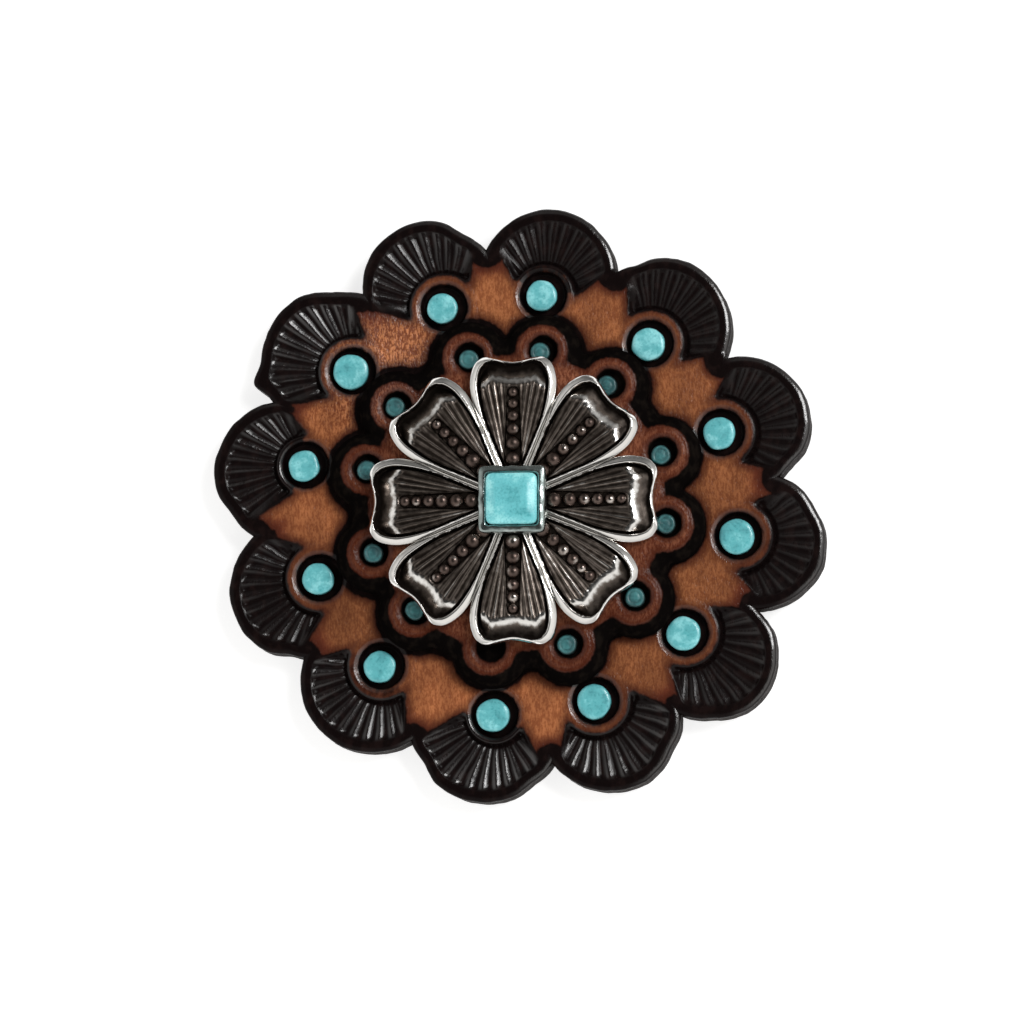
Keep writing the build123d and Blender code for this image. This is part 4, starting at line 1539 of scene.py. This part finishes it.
@dataclass
class Flower:
    """The cast flower: eight rimmed petals with ribs and a row of beads each, and a square bezel."""

    petals: int = 8
    length: float = 14.56
    corner_lead: float = 0.42
    corner_half: float = 2.76
    belly_reach: float = 12.3
    belly_half: float = 4.52
    straight_reach: float = 9.4
    root_reach: float = 2.6
    plate: float = 0.75
    rim_height: float = 1.05
    rim_stem: float = 0.44
    rim_belly: float = 0.86
    rim_end: float = 0.38
    rim_crest: float = 0.76
    rim_drop: float = 0.40
    valley: float = 0.06
    valley_rise: float = 0.50
    cushion_height: float = 0.80
    side_roll: float = 0.24
    end_roll: float = 2.30
    rib_first: float = 6.6
    rib_pitch: float = 3.1
    rib_height: float = 0.12
    groove_margin: float = 0.05
    groove_depth: float = 0.26
    bead_first: float = 4.30
    bead_pitch: float = 1.62
    bead_taper: float = 0.925
    bead_radius: float = 0.92
    petal_uneven: float = 0.16
    petal_cells: float = 0.42
    beads: int = 6
    bead_sink: float = 0.24
    bezel_half: float = 3.5
    bezel_wall: float = 0.80
    bezel_height: float = 2.15
    seed: int = 19

    def __post_init__(self) -> None:
        """Works out the heights from the frame."""
        self.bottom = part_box("flower")[0].z / MM
        self.plate_top = self.bottom + self.plate
        self.cushion_top = self.plate_top + self.cushion_height
        self.slope = math.tan(math.pi / self.petals)
        self.lead = np.array([self.length + self.corner_lead, self.corner_half])
        self.corner = self.lead + np.array([-0.44, 1.0])
        run = (1 - self.bead_taper ** (self.beads - 1)) / (1 - self.bead_taper)
        self.bead_last = self.bead_first + self.bead_pitch * run

    def side_curve(self, count: int) -> np.ndarray:
        """A petal's side from its root to the middle of its rounded corner, evenly spaced."""
        start = np.array([self.root_reach, self.root_reach * self.slope])
        parting = np.array([self.straight_reach, self.straight_reach * self.slope])
        belly = np.array([self.belly_reach, self.belly_half])
        pieces = [
            start + np.linspace(0, 1, 40)[:, None] * (parting - start),
            self.arc(parting, np.array([1.0, self.slope]) * 2.6, belly, np.array([2.6, -0.10]), 30),
            self.arc(belly, np.array([2.1, -0.08]), self.corner, np.array([1.15, -1.5]), 30),
        ]
        return self.resample(np.concatenate(pieces), count)

    def end_curve(self, count: int) -> np.ndarray:
        """A petal's end from the middle of one rounded corner to the other, evenly spaced."""
        across = np.linspace(1, 0, 40)
        scoop = np.stack([
            self.length + self.corner_lead * (1 - np.cos(math.pi * across)) / 2, across * self.corner_half,
        ], -1)
        bend = self.arc(self.corner, np.array([0.95, -1.2]), self.lead, np.array([0.0, -1.2]), 20)
        half = np.concatenate([bend, scoop[1:]])
        whole = np.concatenate([half, (half * np.array([1, -1]))[-2::-1]])
        return self.resample(whole, count)

    @staticmethod
    def arc(start: np.ndarray, leave: np.ndarray, end: np.ndarray, arrive: np.ndarray,
            count: int) -> np.ndarray:
        """Points of a cubic curve between two points with a direction at each."""
        t = np.linspace(0, 1, count)[:, None]
        return ((2 * t ** 3 - 3 * t ** 2 + 1) * start + (t ** 3 - 2 * t ** 2 + t) * leave
                + (3 * t ** 2 - 2 * t ** 3) * end + (t ** 3 - t ** 2) * arrive)

    @staticmethod
    def resample(line: np.ndarray, count: int) -> np.ndarray:
        """Points spaced evenly along a line."""
        keep = np.append(True, np.linalg.norm(np.diff(line, axis=0), axis=1) > 1e-9)
        line = line[keep]
        run = np.append(0.0, np.cumsum(np.linalg.norm(np.diff(line, axis=0), axis=1)))
        wanted = np.linspace(0, run[-1], count)
        return np.stack([np.interp(wanted, run, line[:, axis]) for axis in (0, 1)], -1)

    def plan_grid(self) -> np.ndarray:
        """A grid over a petal's plan, crowded towards its rim."""
        side_count, end_count = 400, 300
        side, end = self.side_curve(side_count), self.end_curve(end_count)[::-1]
        length = float(np.linalg.norm(np.diff(side, axis=0), axis=1).sum())
        fine = np.concatenate([[0, 0.04, 0.1], np.arange(0.17, 2.3, 0.078)])
        along = 1 - fine / length
        along = np.concatenate([np.linspace(0, along[-1], 46)[:-1], along[::-1]])
        rows = []
        for u in along:
            edge = np.array([np.interp(u, np.linspace(0, 1, side_count), side[:, axis]) for axis in (0, 1)])
            squeeze = min(1.0, edge[1] / 3.0)
            near = squeeze * np.concatenate([[0, 0.04, 0.1], np.arange(0.17, 1.75, 0.08)])
            inner = np.linspace(0, edge[1] - near[-1], 31)[:-1]
            half = np.concatenate([inner, (edge[1] - near)[::-1]]) / edge[1]
            s = np.concatenate([-half[:0:-1], half])
            t = (s + 1) / 2
            root = np.stack([np.full_like(s, side[0, 0]), s * side[0, 1]], -1)
            far = np.stack([np.interp(t, np.linspace(0, 1, end_count), end[:, axis]) for axis in (0, 1)], -1)
            low, high = edge * np.array([1, -1]), edge
            sides = (1 - t)[:, None] * low + t[:, None] * high
            corners = ((1 - u) * ((1 - t)[:, None] * root[0] + t[:, None] * root[-1])
                       + u * ((1 - t)[:, None] * far[0] + t[:, None] * far[-1]))
            rows.append(sides + (1 - u) * root + u * far - corners)
        return np.array(rows)

    @staticmethod
    def distance(line: np.ndarray, plan: np.ndarray) -> np.ndarray:
        """How far plane points lie from a line of points."""
        a, b = line[:-1], line[1:]
        run = b - a
        flat = plan.reshape(-1, 1, 2)
        share = np.clip(((flat - a) * run).sum(-1) / (run * run).sum(-1), 0, 1)
        return np.linalg.norm(flat - (a + share[..., None] * run), axis=-1).min(1).reshape(plan.shape[:-1])

    def relief(self, plan: np.ndarray) -> tuple[np.ndarray, np.ndarray]:
        """The height of a petal's face, and how black its finish is.

        Args:
            plan: Plane points.

        Returns:
            Their heights, and their patina from 0 to 1.
        """
        x, y = plan[..., 0], np.abs(plan[..., 1])
        mirrored = np.stack([x, y], -1)
        lines = (self.side_curve(160), self.end_curve(120))
        to_side, to_end = (self.distance(line, mirrored) for line in lines)
        side_rim = self.rim_stem + (self.rim_belly - self.rim_stem) * ease((x - 7.5) / 4.2)
        end_rim = self.rim_end + (self.rim_belly - self.rim_end) * ease((y - 1.8) / 1.9)

        # The rim: a broad slope that faces out, a crest, and a steep wall that faces in
        across = np.minimum(to_side / side_rim, to_end / end_rim)
        outer = np.clip(1 - across / self.rim_crest, 0, 1)
        inner = np.clip((across - self.rim_crest) / (1 - self.rim_crest), 0, 1)
        rim_top = self.plate_top + self.rim_height
        from_end = to_end - end_rim - self.valley
        floor = self.plate_top - 0.05 + self.valley_rise * ease((from_end - 0.5) / 2.2)
        on_rim = across < 1
        rim = rim_top - self.rim_drop * outer ** 1.5 - (rim_top - floor) * (1 - np.sqrt(1 - inner ** 2))

        # The cushion fills the petal inside a narrow valley, and rolls over at its end and sides
        side = np.clip((to_side - side_rim - self.valley) / self.side_roll, 0, 1)
        end = np.clip((from_end - 0.14) / self.end_roll, 0, 1)
        slant = np.hypot(1 - side, 1 - end)
        away = np.minimum(slant, 1)
        endward = ((1 - end) / np.maximum(slant, 1e-6)) ** 2
        cushion = (self.cushion_top - floor) * ease(1 - away)

        # Ribs that fan out from the flower's middle, and the beads' groove
        bead = self.bead_radius * self.bead_taper ** (np.clip(x - self.bead_first, 0, None) / self.bead_pitch)
        groove_half = bead + self.groove_margin
        phase = (np.degrees(np.arctan2(y, x)) - self.rib_first) / self.rib_pitch
        flat_top = ease((0.22 - away) / 0.16)
        beyond_groove = ease((y - groove_half - 0.02) / 0.14)
        corrugation = 0.5 + 0.5 * np.cos(math.tau * phase)
        ribs = flat_top * beyond_groove * ease((x - 4.2) / 1.5)
        reach = np.hypot(np.maximum(x - self.bead_last, 0), y)
        sunk = ease((groove_half - reach) / 0.16)
        groove = sunk * np.minimum(self.groove_depth, cushion)
        cushion = cushion - ribs * self.rib_height * (1 - corrugation) - groove
        height = np.where(on_rim, rim, floor + cushion)

        # The shoulder is polished where the ribs end, and blackens towards the valley
        bare = ease((0.97 - across) / 0.12)
        streaks = soft_noise(np.stack([2.2 * phase, x / 5], -1), 1.0, self.seed + 8)
        ragged = away - 0.04 * (corrugation - 0.5) - 0.05 * streaks
        shoulder = np.interp(ragged, (0.02, 0.18, 0.36, 0.58, 0.80, 1.0), (0.0, 0.64, 0.74, 0.40, 0.14, 0.0))
        roll = shoulder * (0.30 + 0.70 * endward) * (1 - sunk)
        crests = 0.32 * corrugation * (1 + 0.5 * streaks) + 0.22 * streaks
        raised = flat_top * (1 - sunk) * (0.13 + crests * beyond_groove)
        patina = 1 - np.clip(np.where(on_rim, bare, np.maximum(roll, raised)), 0, 1)
        return height, patina

    def petal(self) -> bpy.types.Object:
        """One petal, pointing along +X, closed at its side and its back."""
        plan = self.plan_grid()
        height, patina = self.relief(plan)
        draft = Draft()
        numbers = draft.add(with_height(plan, height), patina=patina)
        draft.skin(numbers.T, wrap=False)
        edge = np.concatenate([numbers[:-1, -1], numbers[-1, ::-1][:-1],
                               numbers[::-1, 0][:-1], numbers[0, :-1]])
        outline = np.concatenate(draft.points)[edge][:, :2]
        inward = np.array([9.0, 0.0]) - outline
        foot = outline + 0.1 * inward / np.linalg.norm(inward, axis=1, keepdims=True)
        loops = [edge, draft.add(with_height(outline, self.bottom + 0.12), patina=0.55),
                 draft.add(with_height(foot, self.bottom), patina=0.75)]
        draft.skin(np.stack(loops, 1))
        draft.faces.append(tuple(int(n) for n in loops[-1]))
        return draft.build("petal", 70.0)

    def build_petals(self, material: bpy.types.Material) -> bpy.types.Object:
        """Makes the ring of petals."""
        tree, keys = ring_tree()
        settings = {
            keys["Copies"]: self.petals, keys["Uneven"]: self.petal_uneven * MM,
            keys["Cells"]: self.petal_cells / MM, keys["Material"]: material,
        }
        return grow(self.petal(), "flower_petals", tree, settings)

    def build_beads(self, material: bpy.types.Material) -> bpy.types.Object:
        """Makes the rows of beads."""
        draft = Draft()
        ring = unit_circle(24)
        loops = []
        for angle in np.linspace(0, math.pi, 15)[1:-1]:
            loop = with_height(ring * math.sin(angle), math.cos(angle)) * self.bead_radius
            loops.append(draft.add(loop, patina=0.42 + 0.26 * math.sin(angle) ** 3))
        poles = (self.bead_radius, -self.bead_radius)
        top, foot = (draft.add_point(0, 0, level, patina=0.46) for level in poles)
        draft.turned(loops, top, foot)
        tree, keys = bead_tree()
        settings = {
            keys["Rays"]: self.petals, keys["Beads"]: self.beads, keys["First"]: self.bead_first * MM,
            keys["Pitch"]: self.bead_pitch * MM, keys["Taper"]: self.bead_taper,
            keys["Height"]: (self.cushion_top - self.bead_sink) * MM, keys["Uneven"]: 0.14,
            keys["Seed"]: self.seed, keys["Material"]: material,
        }
        return grow(draft.build("bead", 60.0), "flower_beads", tree, settings)

    def build_bezel(self, material: bpy.types.Material) -> bpy.types.Object:
        """Makes the thin wall that holds the stone, pressed over it by hand."""
        draft = Draft()
        top = self.plate_top + self.bezel_height
        seat = self.plate_top + 0.6
        wall = self.bezel_wall
        rows = [
            (0.02, self.plate_top - 0.3, 0.7), (0.02, self.plate_top + 0.3, 0.7), (0.0, top - 0.8, 0.65),
            (-0.02, top - 0.36, 0.55), (-0.06, top - 0.22, 0.40), (-0.14, top - 0.13, 0.46),
            (-0.30, top - 0.07, 0.50), (-0.46, top - 0.03, 0.50), (-0.60, top, 0.46),
            (-0.72, top - 0.03, 0.46),
            (-wall, top - 0.20, 0.60), (-wall, seat, 0.8),
        ]
        unit = rounded_square(168, 14.0)
        loops = []
        for inset, level, patina in rows:
            plan = unit * (self.bezel_half + inset)
            place = with_height(plan, level)
            high = ease((level - self.plate_top - 0.6) / 1.2)
            bend = 0.05 * high * soft_noise(plan, 0.9, self.seed)
            bend = bend + 0.03 * high * soft_noise(plan, 0.35, self.seed + 1)
            place[:, 2] += 0.05 * high * soft_noise(plan, 0.7, self.seed + 2)
            place[:, :2] += bend[:, None] * plan / np.linalg.norm(plan, axis=1, keepdims=True)
            loops.append(draft.add(place, patina=patina + 0.1 * soft_noise(plan, 1.0, self.seed + 3)))
        floor = draft.add_point(0, 0, seat, patina=0.9)
        draft.turned(loops[::-1], floor, draft.add_point(0, 0, self.plate_top - 0.3, patina=0.9))
        return draft.build("flower_bezel", 60.0, material)


@dataclass
class Stone:
    """The square stone: a block whose top is a soft pillow."""

    columns: int = 128
    table: float = 0.60
    bevel_drop: float = 0.37
    edge_round: float = 0.16
    seed: int = 7

    def build(self, material: bpy.types.Material) -> bpy.types.Object:
        """Makes the stone's mesh and dresses it."""
        low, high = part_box("centre_stone")
        half, bottom, top = (high.x - low.x) / 2 / MM, low.z / MM, high.z / MM
        unit = rounded_square(self.columns, 9.0)
        shares = np.array([0.12, 0.25, 0.38, 0.5, 0.6, 0.64, 0.68, 0.74, 0.82, 0.89,
                           0.93, 0.96, 0.98, 0.992, 1.0])
        draft = Draft()
        loops = []
        for share in shares:
            plan = unit * half * share
            beyond = max(share - self.table, 0.0)
            slant = beyond ** 2 / (beyond + 0.05) / (1 - self.table)
            rounding = 1 - math.sqrt(1 - max((share - 0.9) / 0.1, 0.0) ** 2 * 0.999)
            level = top - self.bevel_drop * slant - self.edge_round * rounding
            wave = 0.05 * soft_noise(plan, 1.5, self.seed) * (1 - share ** 4)
            shade = -0.03 + 0.13 * ease((share - 0.55) / 0.35)
            loops.append(draft.add(with_height(plan, level + wave), shade=shade))
        loops.append(draft.add(with_height(unit * half, bottom), shade=-0.1))
        crown, foot = (draft.add_point(0, 0, level, shade=-0.03) for level in (top, bottom))
        draft.turned(loops, crown, foot)
        return draft.build("stone", 60.0, material)


# Floor, light and camera


@dataclass
class Studio:
    """A white floor, a room with a bright band, a window to the upper right, and the camera."""

    tilt: float = 9.2
    azimuth: float = 45.0
    distance: float = 600.0
    frame_width: float = 106.95
    aim: tuple[float, float] = (-0.74, -0.60)
    aim_height: float = 3.0
    near_light: float = 0.92
    far_loss: float = 0.80
    overhead: float = 31.0
    overhead_light: float = 0.05
    horizon_share: float = 0.60
    window_azimuth: float = 30.0
    window_tilt: float = 38.0
    pane: float = 76.0
    pane_bar: float = 16.0
    pane_power: float = 0.24
    floor_reach: float = 4000.0
    card_glow: float = 0.72

    def build(self) -> None:
        """Makes everything round the object."""
        self.floor()
        self.world()
        self.window()
        self.camera()
        bpy.context.scene.view_settings.view_transform = "Standard"

    def floor(self) -> None:
        """Makes the pale floor."""
        mesh = bpy.data.meshes.new("floor")
        reach = self.floor_reach * MM
        corners = [(-reach, -reach, 0), (reach, -reach, 0), (reach, reach, 0), (-reach, reach, 0)]
        mesh.from_pydata(corners, [], [(0, 1, 2, 3)])
        paint = Paint("white_card")
        w = paint.wiring
        tone = w.step(w.noise((0.02, 0.02, 0.02), 2.0), 0.3, 0.7)
        mesh.materials.append(paint.set(
            Base_Color=w.blend(tone, (0.60, 0.60, 0.60, 1), (0.62, 0.62, 0.62, 1)), Roughness=0.9,
            Specular_IOR_Level=0.1, Emission_Color=(1, 1, 1, 1), Emission_Strength=self.card_glow))
        plane = show("floor", mesh)

    def world(self) -> None:
        """Makes the room: dark overhead, where the camera is, a bright band, and a dark far side."""
        world = bpy.data.worlds.new("room")
        bpy.context.scene.world = world
        world.use_nodes = True
        w = Wiring(world.node_tree)
        back = world.node_tree.nodes["Background"]
        way = w.node("ShaderNodeSeparateXYZ", Vector=w.node("ShaderNodeTexCoord").outputs["Generated"])
        across, up, height = (way.outputs[axis] for axis in "XYZ")
        flat = w.math("SQRT", w.plus(w.times(across, across), w.times(up, up)))
        far = w.math("MAXIMUM", w.math("DIVIDE", up, w.math("MAXIMUM", flat, 0.01)), 0.0)
        around = w.math("SUBTRACT", self.near_light, w.times(far, far, self.far_loss))
        low_side, high_side = (math.cos(math.radians(self.overhead + turn)) for turn in (-9, 9))
        band = w.step(height, low_side, high_side)
        low = w.step(height, math.cos(math.radians(60)), math.cos(math.radians(85)), 1.0, self.horizon_share)
        light = w.times(around, band, low)
        w.feed(back.inputs["Color"], (1.0, 0.985, 0.96, 1.0))
        w.feed(back.inputs["Strength"], w.math("ADD", light, self.overhead_light))

    def panel(self, name: str, azimuth: float, tilt: float, size: tuple[float, float], power: float,
              distance: float = 700.0, spin: float = 0.0) -> None:
        """Makes one soft panel that faces the object.

        Args:
            name: Its name.
            azimuth: Its bearing from +X in degrees.
            tilt: How far it stands from overhead, in degrees.
            size: Its width and height.
            power: Its power in watts.
            distance: How far away it stands.
            spin: Its turn about its own axis in degrees.
        """
        light = bpy.data.lights.new(name, "AREA")
        light.shape = "RECTANGLE"
        light.size, light.size_y = size[0] * MM, size[1] * MM
        light.energy = power
        lamp = show(name, light)
        way = Vector((math.sin(math.radians(tilt)) * math.cos(math.radians(azimuth)),
                      math.sin(math.radians(tilt)) * math.sin(math.radians(azimuth)),
                      math.cos(math.radians(tilt))))
        turn = way.to_track_quat("Z", "Y").to_matrix().to_4x4()
        lamp.matrix_world = (Matrix.Translation(way * distance * MM) @ turn
                             @ Matrix.Rotation(math.radians(spin), 4, "Z"))

    def window(self) -> None:
        """Makes the window's panes, with bars between them."""
        columns, rows, pane, bar = 3, 3, self.pane, self.pane_bar
        for column in range(columns):
            for row in range(rows):
                across = (column - (columns - 1) / 2) * (pane + bar)
                up = (row - (rows - 1) / 2) * (pane + bar)
                self.panel(f"pane_{column}_{row}", azimuth=self.window_azimuth + across / 8,
                           tilt=self.window_tilt + up / 12.2,
                           size=(pane, pane), power=self.pane_power)

    def camera(self) -> None:
        """Makes the camera at the photograph's angle, with +Y up in the picture."""
        data = bpy.data.cameras.new("camera")
        data.sensor_width = 36.0
        data.lens = data.sensor_width * self.distance / self.frame_width
        data.clip_start, data.clip_end = 0.01, 20.0
        made = show("camera", data)
        tilt, azimuth = math.radians(self.tilt), math.radians(self.azimuth)
        back = Vector((math.sin(tilt) * math.sin(azimuth), -math.sin(tilt) * math.cos(azimuth),
                       math.cos(tilt)))
        up = (Vector((0, 1, 0)) - back * back.y).normalized()
        right = up.cross(back)
        aim = Vector((*self.aim, self.aim_height)) * MM
        basis = Matrix((right, up, back)).transposed().to_4x4()
        made.matrix_world = Matrix.Translation(aim + back * self.distance * MM) @ basis
        bpy.context.scene.camera = made


# The whole object


@dataclass
class Concho:
    """All that shows of the concho."""

    leather: TooledLeather = TooledLeather()
    silver: AntiquedSilver = AntiquedSilver()
    bead_silver: AntiquedSilver = AntiquedSilver(
        "antiqued_silver_beads", (0.74, 0.68, 0.63, 1.0), (0.118, 0.086, 0.074, 1.0),
        (0.020, 0.014, 0.012, 1.0))
    # The bezel's teal tint is a painted reflection of the stone; the silver under it is its own colour
    bezel_silver_painted_teal: AntiquedSilver = AntiquedSilver(
        "antiqued_silver_bezel_painted_teal", (0.52, 0.58, 0.57, 1.0), (0.265, 0.310, 0.300, 1.0),
        (0.080, 0.105, 0.100, 1.0))
    stone: Turquoise = Turquoise("turquoise_stone", (0.40, 0.94, 0.96, 1), (0.185, 0.66, 0.71, 1),
                                 (0.10, 0.45, 0.49, 1), 0.30, 0.2, 0.5)
    enamel: Turquoise = Turquoise("turquoise_spot", (0.34, 0.84, 0.88, 1), (0.145, 0.56, 0.60, 1),
                                  (0.090, 0.38, 0.42, 1), 0.34, 0.45, 0.8)
    # A darker copy of the spots' turquoise for the small spots: painted shade, as they sit deep in their
    # seats
    shaded_small_enamel: Turquoise = Turquoise(
        "turquoise_spot_small_shaded", (0.085, 0.33, 0.34, 1), (0.055, 0.22, 0.23, 1),
        (0.03, 0.12, 0.13, 1), 0.40, 0.2, 0.9)
    # A darker copy of the leather for the small rosette. Towards pale_bearing it is paler, partly its own
    # tone and partly painted light, and its round places are painted light and painted shade
    dark_leather: TooledLeather = TooledLeather(
        "tooled_leather_dark", tan=(0.400, 0.155, 0.080, 1.0), brown=(0.120, 0.035, 0.018, 1.0),
        dye=(0.0036, 0.0028, 0.0027, 1.0), dye_worn=(0.0088, 0.0066, 0.0054, 1.0),
        closed_grain=0.75, specular=0.0, gleam=0.16,
        pale_bearing=72.0, pale_reach=16.0, pale_low=0.72, pale_high=1.35,
        lit_and_shaded_places=(RoundPlace(183, 15.5, 7.5, -0.35), RoundPlace(137, 15.5, 6.0, 0.30)))
    edge: CutEdge = CutEdge()
    steel: PostSteel = PostSteel()

    def ride(self, piece: bpy.types.Object, slot: Slot, *nodes: str) -> None:
        """Joins a piece to the body, hides the nodes that it stands for, and logs its triangles."""
        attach(piece, BODY)
        if nodes:
            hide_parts(*nodes)
        triangles = sum(len(face.vertices) - 2 for face in piece.data.polygons)
        log.info("%s: %d triangles", piece.name, triangles)

    def build(self) -> None:
        """Builds every piece and joins it to the body."""
        leather, silver = self.leather.build(), self.silver.build()
        enamel = self.enamel.build()
        small = SmallRosette()
        base = LargeRosette(upper=small)
        self.ride(base.build(leather, self.edge.build()), Slot.LEATHER, "base_rosette")
        self.ride(small.build(self.dark_leather.build()), Slot.LEATHER, "inner_rosette")

        outer = tuple(sorted(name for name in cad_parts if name.startswith("outer_spot_")))
        # The outer spots darken only at the very rim: painted shade from the seat's wall
        flat_top = SpotProfile((0.3, 0.6, 0.76, 0.85, 0.92, 0.97, 1.0),
                               (0.03, 0.02, 0.02, 0.055, 0.11, 0.17, 0.26),
                               (0.0, 0.0, 0.0, 0.0, 0.0, 0.15, 0.6))
        spots = Spots("outer_spots", outer, flat_top, 0.34, 0.55, 0.02, 5)
        self.ride(spots.build(enamel), Slot.SPOT, *outer)
        # The small spots darken towards the rim and their tone is lowered: painted shade from their deep
        # seats
        inner = tuple(sorted(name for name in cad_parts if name.startswith("inner_spot_")))
        ringed = SpotProfile((0.2, 0.4, 0.52, 0.62, 0.74, 0.84, 0.93, 1.0),
                             (0.06, 0.09, 0.14, 0.12, 0.06, 0.09, 0.18, 0.32),
                             (0.0, 0.0, 0.25, 0.2, 0.05, 0.35, 0.8, 1.0), 36)
        spots = Spots("inner_spots", inner, ringed, 0.22, 0.8, -0.08, 6)
        self.ride(spots.build(self.shaded_small_enamel.build()), Slot.SPOT, *inner)

        flower = Flower()
        self.ride(flower.build_petals(silver), Slot.SILVER, "flower")
        self.ride(flower.build_beads(self.bead_silver.build()), Slot.SILVER)
        self.ride(flower.build_bezel(self.bezel_silver_painted_teal.build()), Slot.SILVER)
        self.ride(Stone().build(self.stone.build()), Slot.STONE, "centre_stone")

        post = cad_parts["screw_post"]
        post.data.materials.clear()
        post.data.materials.append(self.steel.build())


def main() -> None:
    """Builds the object and the studio."""
    logging.basicConfig(level=logging.INFO, format="%(name)s: %(message)s")
    Studio().build()
    Concho().build()


if __name__ == "__main__":
    main()
